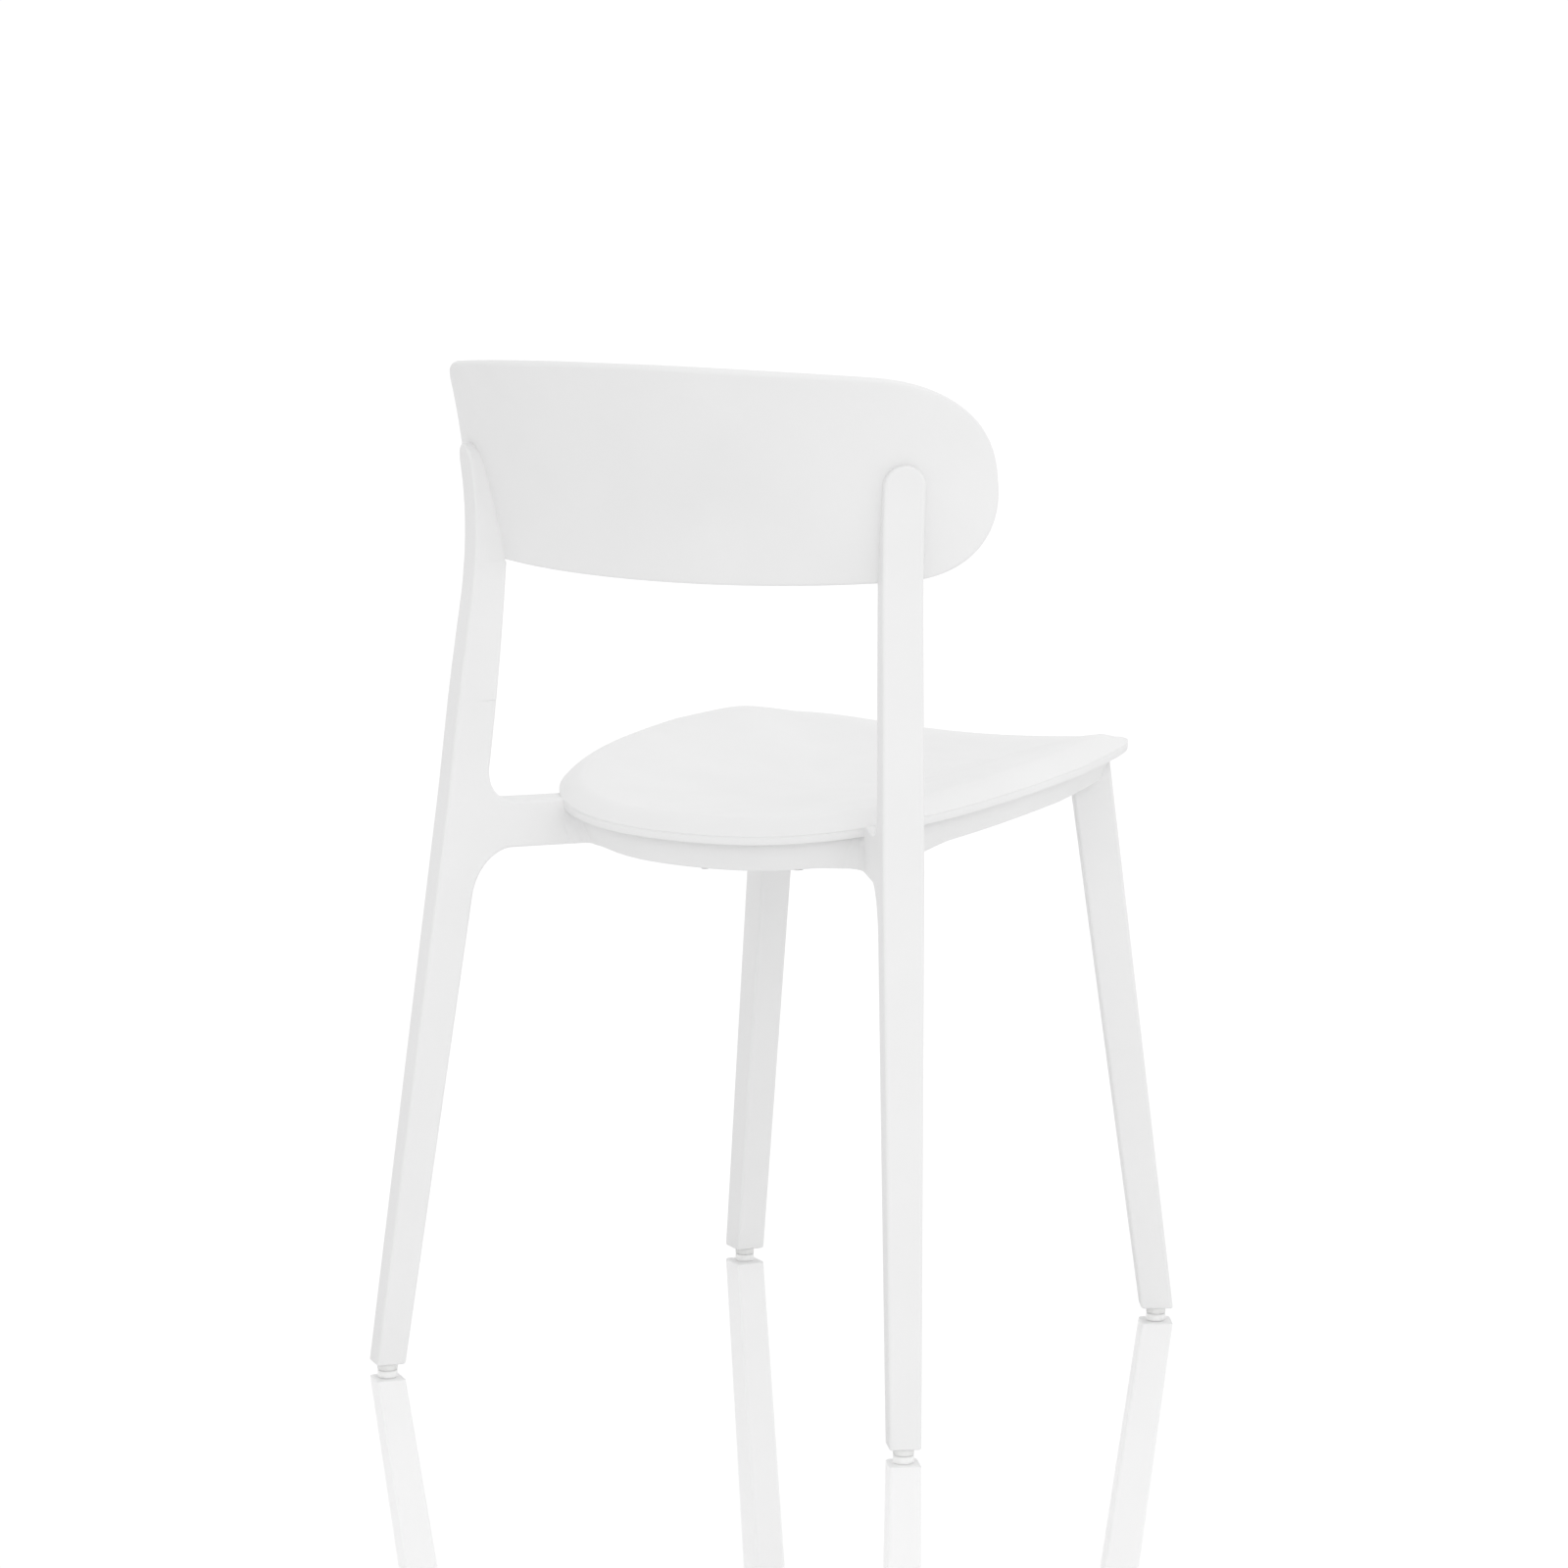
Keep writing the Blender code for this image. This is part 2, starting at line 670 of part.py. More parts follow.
def arm_edge(reach, top):
    """Z of the arm's top or bottom edge at a distance inwards from the leg's inner face."""
    fillet = ARM_FILLET_TOP if top else ARM_FILLET_BOTTOM
    span = fillet * (0.9 if top else 0.75)
    share = clamp(1.0 - reach / span, 0.0, 1.0)
    rise = fillet * (1.0 - math.sqrt(max(1.0 - share * share, 0.0)))
    return ARM_TOP + rise if top else ARM_BOTTOM - rise


def arm_half_width(reach):
    """The arm widens in plan where it runs into the ring."""
    share = clamp((reach - ARM_FLARE_START) / ARM_FLARE, 0.0, 1.0)
    return REAR_WIDTH[1] / 2.0 + ARM_FLARE * (1.0 - math.sqrt(1.0 - share * share * 0.96))


ARM_ROWS = 5
ARM_COLUMNS = (0.003, 0.007, 0.013, 0.020, 0.030, 0.050, 0.076, 0.081, 0.084, 0.086, ARM_REACH)


def rear_leg(side, name, material, envelope):
    bm = bmesh.new()
    outward, sideways = leg_frame(side, REAR_TURN, 1)
    arm_low, arm_high = arm_edge(0.0, False), arm_edge(0.0, True)
    arm_zs = [lerp(arm_low, arm_high, k / ARM_ROWS) for k in range(ARM_ROWS + 1)]
    low_zs = [FOOT_Z, 0.10, 0.20, 0.29]
    rise = TONGUE_WIDTH / 2.0
    cap_zs = [TONGUE_TOP - rise * (1.0 - math.sin(math.radians(a))) for a in (0, 22, 42, 60, 76)]
    high_zs = [0.51, 0.56, 0.60, STEP_Z - 0.0004, STEP_Z, 0.640, 0.655, 0.672, 0.688] + cap_zs
    first_arm = len(low_zs)
    step_at = first_arm + len(arm_zs) + high_zs.index(STEP_Z)

    def place(z, reach, across):
        return leg_centre(side, REAR_FOOT, REAR_KNEE, z) + outward * reach + sideways * across

    rows = []
    for index, z in enumerate(low_zs + arm_zs + high_zs):
        half = tongue_half_width(z)
        row = {}
        for hand in (1, -1):
            across = hand * half
            inner = inner_reach(z) if index < step_at else tongue_inner(side, across, z)
            row["in", hand] = bm.verts.new(place(z, inner, across))
            row["out", hand] = bm.verts.new(place(z, max(outer_reach(z), inner + 0.003), across))
        rows.append(row)

    for lower, upper in zip(rows, rows[1:]):
        for hand in (1, -1):
            bm.faces.new([r[k, hand] for r, k in ((lower, "in"), (lower, "out"), (upper, "out"), (upper, "in"))])
        bm.faces.new([lower["out", 1], lower["out", -1], upper["out", -1], upper["out", 1]])
    arm_range = range(first_arm, first_arm + ARM_ROWS)
    for index, (lower, upper) in enumerate(zip(rows, rows[1:])):
        if index not in arm_range:
            bm.faces.new([lower["in", 1], lower["in", -1], upper["in", -1], upper["in", 1]])
    for row in (rows[0], rows[-1]):
        bm.faces.new([row["in", 1], row["in", -1], row["out", -1], row["out", 1]])

    before = [[rows[first_arm + k]["in", hand] for k in range(ARM_ROWS + 1)] for hand in (1, -1)]
    for reach in ARM_COLUMNS:
        here = []
        for hand in (1, -1):
            column = []
            for k in range(ARM_ROWS + 1):
                z = lerp(arm_edge(reach, False), arm_edge(reach, True), k / ARM_ROWS)
                inner = inner_reach(arm_zs[k]) - reach
                column.append(bm.verts.new(place(z, inner, hand * arm_half_width(reach))))
            here.append(column)
        for old, new in zip(before, here):
            for k in range(ARM_ROWS):
                bm.faces.new((old[k], new[k], new[k + 1], old[k + 1]))
        for k in (0, ARM_ROWS):
            bm.faces.new((before[0][k], here[0][k], here[1][k], before[1][k]))
        before = here
    for k in range(ARM_ROWS):
        bm.faces.new((before[0][k], before[0][k + 1], before[1][k + 1], before[1][k]))

    leg = add_object(name, bm, material)
    bevel = leg.modifiers.new("soft_edges", "BEVEL")
    bevel.width = LEG_ROUND
    bevel.segments = 2
    bevel.limit_method = "ANGLE"
    bevel.angle_limit = math.radians(50.0)
    bevel.harden_normals = False
    cut(leg, envelope)
    holes = bmesh.new()
    stem_hole(holes, leg_centre(side, REAR_FOOT, REAR_KNEE, FOOT_Z))
    for base, axis in arm_screw_places(side):
        turned(holes, base, axis, [(0, 0.001), (PILOT, 0.001), (PILOT, 0.024), (0, 0.024)])
    for base, axis in back_screw_places(side):
        turned(holes, base, axis, [(0, 0.003), (PILOT, 0.003), (PILOT, 0.0125), (0, 0.0125)])
    cut(leg, cutter(name + "_hole_tool", holes))
    return leg


def arm_screw_places(side):
    """Inner face of the ring's outer wall at each arm screw, and the way the screw points."""
    places = []
    for number in ARM_SCREWS:
        spot = number if side > 0 else REAR_STATIONS - number
        before, after = RING_STATIONS[math.floor(spot)], RING_STATIONS[math.floor(spot) + 1]
        share = spot - math.floor(spot)
        base = before.at(*arm_screw_wall(before)).lerp(after.at(*arm_screw_wall(after)), share)
        places.append((base, -before.inward.lerp(after.inward, share).normalized()))
    return places


def arm_screw_wall(station):
    """Inset and depth of the ring's outer wall, on its inner face, at half height."""
    inset, depth = ring_outer(station, 2)
    return inset + RING_WALL, depth


RING_STATIONS = seat_stations()


# ---- small parts --------------------------------------------------------------------------------
def glide(name, foot, material):
    bm = bmesh.new()
    radius, length = GLIDE_STEM
    top = foot.z - GAP
    base = Vector((foot.x, foot.y, 0.0))
    profile = [(0, 0), (GLIDE_RADIUS - 0.0012, 0), (GLIDE_RADIUS, 0.0012), (GLIDE_RADIUS, top)]
    profile += [(radius, top), (radius, top + length - 0.001), (radius - 0.0008, top + length), (0, top + length)]
    turned(bm, base, (0, 0, 1), profile, segments=20)
    return add_object(name, bm, material)


def screw(name, seat, axis, length, material):
    """A pan-head screw: seat is where the head's underside bears, and axis points down the shank."""
    bm = bmesh.new()
    head = SCREW_HEAD
    profile = [(0, -0.0012), (0.0011, -0.0012), (0.0013, -0.0022), (head - 0.0008, -0.0022)]
    profile += [(head, -0.0014), (head, -HEAD_GAP), (SCREW_SHANK, -HEAD_GAP)]
    profile += [(SCREW_SHANK, length - 0.002), (0, length)]
    turned(bm, seat, axis, profile)
    return add_object(name, bm, material)


def stacking_pad(name, station, material):
    bm = bmesh.new()
    base = station.at(PAD_INSET, RING_HEIGHT)
    profile = [(0, -PAD_DROP), (0.0044, -PAD_DROP), (0.0056, -0.0012), (0.0058, -HEAD_GAP), (0.0017, -HEAD_GAP)]
    profile += [(0.0017, 0.0038), (0, 0.0046)]
    turned(bm, base, (0, 0, 1), profile, segments=16)
    return add_object(name, bm, material)


# ---- assembly -----------------------------------------------------------------------------------
def build():
    for obj in list(bpy.data.objects):
        bpy.data.objects.remove(obj)

    seat_white = plastic("seat_white", (0.86, 0.86, 0.855), 0.42)
    frame_white = plastic("frame_white", (0.85, 0.85, 0.845), 0.45)
    back_white = plastic("back_white", (0.86, 0.86, 0.855), 0.42)
    glide_white = plastic("glide_white", (0.80, 0.80, 0.79), 0.35)
    pad_grey = plastic("pad_grey", (0.62, 0.62, 0.61), 0.70)
    screw_zinc = metal("screw_zinc", (0.62, 0.62, 0.63), 0.35)

    stations = RING_STATIONS
    seat_shell(stations, seat_white)
    seat_ring(stations, frame_white)
    backrest(back_white)
    leg_clearance = seat_envelope("leg_clearance_tool", stations, GAP)
    arm_clearance = seat_envelope("arm_clearance_tool", stations, ARM_DROP)

    for side, hand in ((1, "left"), (-1, "right")):
        rear_leg(side, "rear_leg_" + hand, frame_white, arm_clearance)
        front_leg(side, "front_leg_" + hand, frame_white, leg_clearance)
        glide("glide_rear_" + hand, leg_centre(side, REAR_FOOT, REAR_KNEE, FOOT_Z), glide_white)
        glide("glide_front_" + hand, leg_centre(side, FRONT_FOOT, FRONT_KNEE, FOOT_Z), glide_white)
        for number, (base, axis) in enumerate(arm_screw_places(side), 1):
            screw(f"arm_screw_{hand}_{number}", base, axis, 0.020, screw_zinc)
        for number, base in enumerate(front_screw_places(side, stations), 1):
            screw(f"front_leg_screw_{hand}_{number}", base, (0, 0, -1), 0.020, screw_zinc)
        for number, (base, axis) in enumerate(back_screw_places(side), 1):
            screw(f"back_screw_{hand}_{number}", base + axis * 0.0030, axis, 0.0080, screw_zinc)

    for number, station in enumerate(screw_stations(stations), 1):
        seat = station.at(CHANNEL_INSET, RING_HEIGHT)
        screw(f"seat_screw_{number}", seat, (0, 0, 1), 0.014, screw_zinc)
    for number, place in enumerate(PADS, 1):
        stacking_pad(f"stacking_pad_{number}", stations[place], pad_grey)


build()
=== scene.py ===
"""Looks of the white stacking chair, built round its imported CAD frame.

Metres, +Z up, the sitter faces -Y, and the sitter's left is +X. Each smooth piece below stands for one CAD
node and follows the same dimensions, with finer facets, softened edges and moulding marks.
"""
import math

import bmesh
import bpy
from mathutils import Matrix, Vector


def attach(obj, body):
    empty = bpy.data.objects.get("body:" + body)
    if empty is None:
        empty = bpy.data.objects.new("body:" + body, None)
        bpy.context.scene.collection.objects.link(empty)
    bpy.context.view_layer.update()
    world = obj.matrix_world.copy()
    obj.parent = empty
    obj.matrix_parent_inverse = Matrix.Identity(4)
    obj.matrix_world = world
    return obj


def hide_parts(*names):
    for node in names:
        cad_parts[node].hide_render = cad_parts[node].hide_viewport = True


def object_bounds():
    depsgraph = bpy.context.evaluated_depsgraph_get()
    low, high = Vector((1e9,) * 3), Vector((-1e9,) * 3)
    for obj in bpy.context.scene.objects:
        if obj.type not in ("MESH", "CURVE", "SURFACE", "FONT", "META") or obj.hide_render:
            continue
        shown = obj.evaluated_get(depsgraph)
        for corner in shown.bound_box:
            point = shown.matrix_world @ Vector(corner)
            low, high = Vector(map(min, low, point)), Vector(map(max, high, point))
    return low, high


# ---- dimensions shared with the CAD frame ---------------------------------------------------------
SEAT_HALF_WIDTH = 0.1952
SEAT_WIDEST_Y = -0.0998
SEAT_REAR_REACH = 0.2748
SEAT_FRONT_REACH = 0.1731
SEAT_REAR_POWER = 2.77
SEAT_FRONT_POWER = 4.465
SEAT_FRONT_TAPER = 0.1497
SEAT_SPAN = 0.21

LIP_Z = 0.4455
LIP_MID_Y = -0.033
LIP_SLOPE = -0.01344
LIP_BOW = -0.00095
LIP_SIDE_RISE = 0.0126
LIP_SIDE = 0.189
LIP_SIDE_TWIST = 0.0005
LIP_FRONT_DIP = -0.00315

SEAT_ROLL = 0.0189
SEAT_CREST = 0.01155
SEAT_CREST_FRONT = 0.0004
SEAT_EDGE_POWER = 1.8            # how the edge falls from its crest to the lip
SEAT_WALL = 0.004
SEAT_BAND = 0.0070
SEAT_CENTRE = Vector((0.0, -0.030, 0.4385))
DISH_POWER = 1.6                 # how the dish climbs from its middle to the crest
CREST_FADE_Y = -0.159            # the crest fades to its front height from here, over CREST_FADE
CREST_FADE = 0.105
# lip, parting groove and upright band with a softened lower edge, as (in from the outline, below the lip)
BAND_PROFILE = (
    (0.0001, -0.0001), (0.0, 0.0003), (0.0005, 0.0006), (0.0006, 0.0009),
    (0.0003, 0.0013), (0.0003, 0.0030), (0.0003, 0.0060), (0.0006, 0.0067),
    (0.0013, SEAT_BAND), (SEAT_WALL - 0.0006, SEAT_BAND), (SEAT_WALL, 0.0064),
)

RING_PROFILE = ((0.0110, 0.0), (0.0116, 0.0085), (0.0152, 0.0175), (0.0183, 0.0252))
RING_HEIGHT = 0.0295
ARM_ROOT = (0.134, 0.101)        # where an arm's middle meets the ring
ARM_DIP = 0.0052                 # the ring is deeper by this there, over ARM_DIP_REACH
ARM_DIP_REACH = (0.015, 0.060)
ARM_DIP_INSET = 0.02
RING_EDGE = 0.0028               # rounding of the ring's lower outer edge
RING_EDGE_STEP = 0.0007          # where that rounding starts, in from the wall's foot
RING_INNER = 0.044
RING_WALL = 0.003
RING_TOP_GAP = 0.0004            # below the seat, at the outer wall
RING_INNER_GAP = 0.0006          # the same at the inner wall
RING_SOFT = 0.0008
RING_CREST_SHARE = 0.80          # how far the outer wall climbs towards the seat's crest

FOOT_Z = 0.006
KNEE_Z = 0.420
REAR_FOOT = (0.2310, 0.2400)
REAR_KNEE = (0.1968, 0.1877)
REAR_TURN = math.radians(38.4)
REAR_WIDTH = (0.0236, 0.0310)
REAR_DEPTH = (0.0230, 0.0303)
FRONT_FOOT = (0.1958, -0.2285)
FRONT_KNEE = (0.1486, -0.2015)
FRONT_TURN = math.radians(56.6)
FRONT_WIDTH = (0.0247, 0.0278)
FRONT_DEPTH = (0.0255, 0.0319)
FRONT_TOP = 0.4585               # under the seat's overhang and inside the ring
LEG_ROUND = 0.0022
FOOT_SOFT = 0.0008               # softened edge round a leg's cut foot
EDGE_STEPS = 6
SUPPORT = 0.0006                 # flat strip that keeps a leg's rounded edge crisp

ARM_TOP = 0.4414
ARM_BOTTOM = 0.4055
ARM_FILLET_TOP = 0.027
ARM_FILLET_BOTTOM = 0.036
ARM_END = {1: 0.0905, -1: 0.0985}   # reach of the arm's end inside the ring, at its two side faces
ARM_END_SLANT = 0.006            # the end's foot reaches this much farther than its top
ARM_ROOT_RADIUS = 0.017          # soft corner between the arm's side and the ring
ARM_FROM, ARM_TO = 0.350, 0.520  # heights between which the leg carries its arm
TONGUE_WIDTH = 0.0306
TONGUE_TOP = 0.7160
TONGUE_SINK = 0.0004             # the tongue's inner face lies this deep in the panel
TONGUE_BEND_Z = (0.620, 0.605)   # the outer face bends and leans from these heights
TONGUE_BEND = 1.42
TONGUE_LEAN = 0.055
UPRIGHT_SWELL = 0.0026           # the upright deepens by this over UPRIGHT_SWELL_RISE above the knee
UPRIGHT_SWELL_RISE = 0.13
UPRIGHT_THINNING = 0.0085        # and its inner face draws in by this up to the panel
UPRIGHT_NARROWING = 0.1          # rise over which it takes the tongue's width
STEP_Z = 0.6262

BACK_Y = 0.1943
BACK_Z = 0.6212
BACK_HEIGHT = 0.1655
BACK_HALF = 0.2602
BACK_END = 0.0762
BACK_POWER = 2.47
BACK_CROWN = 0.0089
BACK_SAG = 0.0096
BACK_SPAN = 0.21
BACK_RADIUS = 0.640
BACK_TIGHTEN = 19.1
BACK_LEAN = 0.2745
BACK_LEAN_LOSS = 0.2127
BACK_FLARE = 1.262
BACK_WALL = 0.0060
BACK_ROUND = 0.0028
BACK_BEND_SPAN = 0.32            # length of the panel's curve that is walked, in BACK_BEND_STEPS
BACK_BEND_STEPS = 1280
BACK_OUTLINE = 400

GLIDE_RADIUS = 0.0078

# ---- studio ---------------------------------------------------------------------------------------
WORLD_TILT = (-0.14, 0.0, 0.05)
WORLD_LEVEL = 0.90
WORLD_GLOSS = 1.05
WORLD_SEEN = 1.05
SOFTBOX_PLACE = (-3.2, 3.6, 2.0)
SOFTBOX_SIZE = 1.6
SOFTBOX_POWER = 16.0
SOFTBOX_AIM = (0.0, 0.0, 0.45)
FLOOR_IOR = 1.75
FLOOR_GLOW = 1.02
FLOOR_GLOSS = 2.3                # how far the floor mirrors beyond its own Fresnel
FLOOR_ROUGHNESS = 0.03
FLOOR_WHITE = 0.92
FLOOR_SIZE = 60.0
CAMERA_EYE = (-2.0575, 3.4024, 1.0346)
CAMERA_TARGET = (-0.4994, 0.8474, 0.5917)
CAMERA_LENS = 118.46             # on a sensor of CAMERA_SENSOR, both in millimetres
CAMERA_SENSOR = 36.0

# ---- smoothness of the visual pieces --------------------------------------------------------------
REAR_STATIONS = 180
FRONT_STATIONS = 140
OUTLINE_WALK = 6000              # points used to space the stations evenly
DISH_RINGS = 22
EDGE_RINGS = 20

# ---- colours --------------------------------------------------------------------------------------
WHITE = (0.86, 0.86, 0.86)
GLIDE_WHITE = (0.93, 0.93, 0.92)
PAD_GREY = (0.42, 0.42, 0.41)
ZINC = (0.62, 0.62, 0.63)
SATIN_ROUGHNESS = 0.42


# ---- helpers --------------------------------------------------------------------------------------
def lerp(a, b, share):
    return a + (b - a) * share


def clamp(value, low, high):
    return max(low, min(high, value))


def smooth_step(value):
    value = clamp(value, 0.0, 1.0)
    return value * value * (3.0 - 2.0 * value)


def signed_power(value, power):
    return math.copysign(abs(value) ** power, value)


def piece(name, bm, material, node, smooth_angle=40.0):
    """Make a visible piece, kept inside the CAD box, that stands for one CAD node or for none."""
    low, high = Vector(BOX[0]), Vector(BOX[1])
    for vert in bm.verts:
        vert.co = Vector(clamp(c, a, b) for c, a, b in zip(vert.co, low, high))
    bmesh.ops.recalc_face_normals(bm, faces=bm.faces)
    mesh = bpy.data.meshes.new(name)
    bm.to_mesh(mesh)
    bm.free()
    obj = bpy.data.objects.new(name, mesh)
    bpy.context.scene.collection.objects.link(obj)
    mesh.materials.append(material)
    mesh.shade_smooth()
    mesh.set_sharp_from_angle(angle=math.radians(smooth_angle))
    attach(obj, "root")
    if node:
        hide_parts(node)
    return obj


def loft(bm, rings, closed=False, caps=True):
    loops = [[bm.verts.new(point) for point in ring] for ring in rings]
    pairs = list(zip(loops, loops[1:]))
    if closed:
        pairs.append((loops[-1], loops[0]))
    for lower, upper in pairs:
        count = max(len(lower), len(upper))
        for i in range(count):
            j = (i + 1) % count
            if len(lower) == 1:
                bm.faces.new((lower[0], upper[j], upper[i]))
            elif len(upper) == 1:
                bm.faces.new((lower[i], lower[j], upper[0]))
            else:
                bm.faces.new((lower[i], lower[j], upper[j], upper[i]))
    if caps and not closed:
        for loop in (loops[0], loops[-1]):
            if len(loop) > 1:
                bm.faces.new(loop)
    return loops


def turned(bm, base, axis, profile, segments=48):
    axis = Vector(axis).normalized()
    side = axis.orthogonal().normalized()
    across = axis.cross(side)
    rings = []
    for radius, along in profile:
        centre = Vector(base) + axis * along
        if radius == 0.0:
            rings.append([centre])
            continue
        turns = [2.0 * math.pi * i / segments for i in range(segments)]
        rings.append([centre + (side * math.cos(t) + across * math.sin(t)) * radius for t in turns])
    loft(bm, rings)


# ---- materials ------------------------------------------------------------------------------------
def satin(name, colour, roughness, grain_size=0.0006, grain_depth=0.00001, mottle=0.012, metallic=0.0):
    """Moulded satin surface: faint mottling, uneven gloss and a fine raised grain, all procedural."""
    material = bpy.data.materials.new(name)
    material.use_nodes = True
    nodes, links = material.node_tree.nodes, material.node_tree.links
    shader = nodes["Principled BSDF"]
    place = nodes.new("ShaderNodeTexCoord")

    def noise(size, detail):
        node = nodes.new("ShaderNodeTexNoise")
        node.inputs["Scale"].default_value = 1.0 / size
        node.inputs["Detail"].default_value = detail
        links.new(place.outputs["Object"], node.inputs["Vector"])
        return node

    def spread(source, low, high):
        node = nodes.new("ShaderNodeMapRange")
        node.inputs["From Min"].default_value = 0.3
        node.inputs["From Max"].default_value = 0.7
        node.inputs["To Min"].default_value = low
        node.inputs["To Max"].default_value = high
        links.new(source.outputs["Fac"], node.inputs["Value"])
        return node

    broad = noise(0.09, 3.0)
    tint = nodes.new("ShaderNodeMix")
    tint.data_type = "RGBA"
    tint.inputs["A"].default_value = (*[c * (1.0 - mottle) for c in colour], 1.0)
    tint.inputs["B"].default_value = (*[min(c * (1.0 + mottle), 1.0) for c in colour], 1.0)
    links.new(spread(broad, 0.0, 1.0).outputs["Result"], tint.inputs["Factor"])
    links.new(tint.outputs["Result"], shader.inputs["Base Color"])
    gloss = spread(noise(0.02, 4.0), roughness - 0.04, roughness + 0.04)
    links.new(gloss.outputs["Result"], shader.inputs["Roughness"])
    bump = nodes.new("ShaderNodeBump")
    bump.inputs["Strength"].default_value = 0.5
    bump.inputs["Distance"].default_value = grain_depth
    links.new(noise(grain_size, 2.0).outputs["Fac"], bump.inputs["Height"])
    links.new(bump.outputs["Normal"], shader.inputs["Normal"])
    shader.inputs["Metallic"].default_value = metallic
    return material


# ---- seat outline ---------------------------------------------------------------------------------
def outline_point(angle):
    c, s = math.cos(angle), math.sin(angle)
    power = SEAT_REAR_POWER if s > 0.0 else SEAT_FRONT_POWER
    reach = SEAT_REAR_REACH if s > 0.0 else SEAT_FRONT_REACH
    ahead = reach * signed_power(s, 2.0 / power)
    taper = 1.0 + SEAT_FRONT_TAPER * min(ahead, 0.0) / SEAT_SPAN
    return Vector((SEAT_HALF_WIDTH * signed_power(c, 2.0 / power) * taper, SEAT_WIDEST_Y + ahead, 0.0))


def even_outline(rear_count, front_count):
    """Points spaced evenly along the rear half and then along the front half, so both sides match."""
    even = []
    for count, first in ((rear_count, 0.0), (front_count, math.pi)):
        points = [outline_point(first + math.pi * i / OUTLINE_WALK) for i in range(OUTLINE_WALK + 1)]
        run = [0.0]
        for a, b in zip(points, points[1:]):
            run.append(run[-1] + (b - a).length)
        at = 0
        for i in range(count):
            goal = run[-1] * i / count
            while run[at + 1] < goal:
                at += 1
            even.append(points[at].lerp(points[at + 1], (goal - run[at]) / (run[at + 1] - run[at])))
    return even


def lip_height(x, y):
    v = (y - LIP_MID_Y) / SEAT_SPAN
    across = (x / LIP_SIDE) ** 2
    dip = LIP_FRONT_DIP * v ** 4 * (1.0 - across) if v < 0.0 else 0.0
    side = across * (LIP_SIDE_RISE + LIP_SIDE_TWIST * v)
    return LIP_Z + LIP_SLOPE * v + LIP_BOW * v * v + side + dip


class Station:
    """One place on the seat's outline: its point, its inward direction and its lip height."""

    def __init__(self, before, here, after):
        tangent = (after - before).normalized()
        self.point = here
        self.inward = Vector((-tangent.y, tangent.x, 0.0))
        self.lip = lip_height(here.x, here.y)
        ahead = smooth_step((CREST_FADE_Y - here.y) / CREST_FADE)
        self.crest = lerp(SEAT_CREST, SEAT_CREST_FRONT, ahead)
        across = abs(here.x + self.inward.x * ARM_DIP_INSET) - ARM_ROOT[0]
        along = here.y + self.inward.y * ARM_DIP_INSET - ARM_ROOT[1]
        away = math.hypot(across, along)
        low, high = ARM_DIP_REACH
        self.dip = ARM_DIP * (1.0 - smooth_step((away - low) / (high - low)))

    def at(self, inset, below):
        place = self.point + self.inward * inset
        return Vector((place.x, place.y, self.lip - below))


def seat_stations():
    points = even_outline(REAR_STATIONS, FRONT_STATIONS)
    count = len(points)
    return [Station(points[i - 1], points[i], points[(i + 1) % count]) for i in range(count)]


# ---- seat and ring --------------------------------------------------------------------------------
def dish(station, share):
    """A point of the dished top: share is 0 at the seat's centre and 1 at its crest."""
    crest = station.at(SEAT_ROLL, -station.crest)
    point = SEAT_CENTRE.lerp(crest, share)
    point.z = lerp(SEAT_CENTRE.z, crest.z, 1.0 - (1.0 - share * share) ** DISH_POWER)
    return point


def dish_depth(station, inset):
    """Depth of the dished top below the lip, at a place inside the crest."""
    length = (station.point - SEAT_CENTRE).xy.length - SEAT_ROLL
    return station.lip - dish(station, 1.0 - (inset - SEAT_ROLL) / length).z


def seat_piece(stations, material):
    bm = bmesh.new()
    rings = [[SEAT_CENTRE.copy()]]
    for step in range(1, DISH_RINGS + 1):
        rings.append([dish(s, step / DISH_RINGS) for s in stations])
    for step in range(1, EDGE_RINGS):
        share = step / EDGE_RINGS
        inset, rise = SEAT_ROLL * (1.0 - share), 1.0 - share ** SEAT_EDGE_POWER
        rings.append([s.at(inset, -s.crest * rise) for s in stations])
    for inset, below in BAND_PROFILE:
        rings.append([s.at(inset, below) for s in stations])
    for step in range(0, 9):
        turn = math.radians(90.0 - 90.0 * step / 8.0)
        out = lerp(SEAT_ROLL, SEAT_WALL, math.sin(turn))
        drop = math.cos(turn)
        rings.append([s.at(out, lerp(SEAT_BAND / 2.0, SEAT_WALL - s.crest, drop)) for s in stations])
    for share in [i / 12.0 for i in range(11, 0, -1)]:
        rings.append([dish(s, share) - Vector((0.0, 0.0, SEAT_WALL)) for s in stations])
    rings.append([SEAT_CENTRE - Vector((0.0, 0.0, SEAT_WALL))])
    loft(bm, rings)
    return piece("seat", bm, material, "seat_shell")


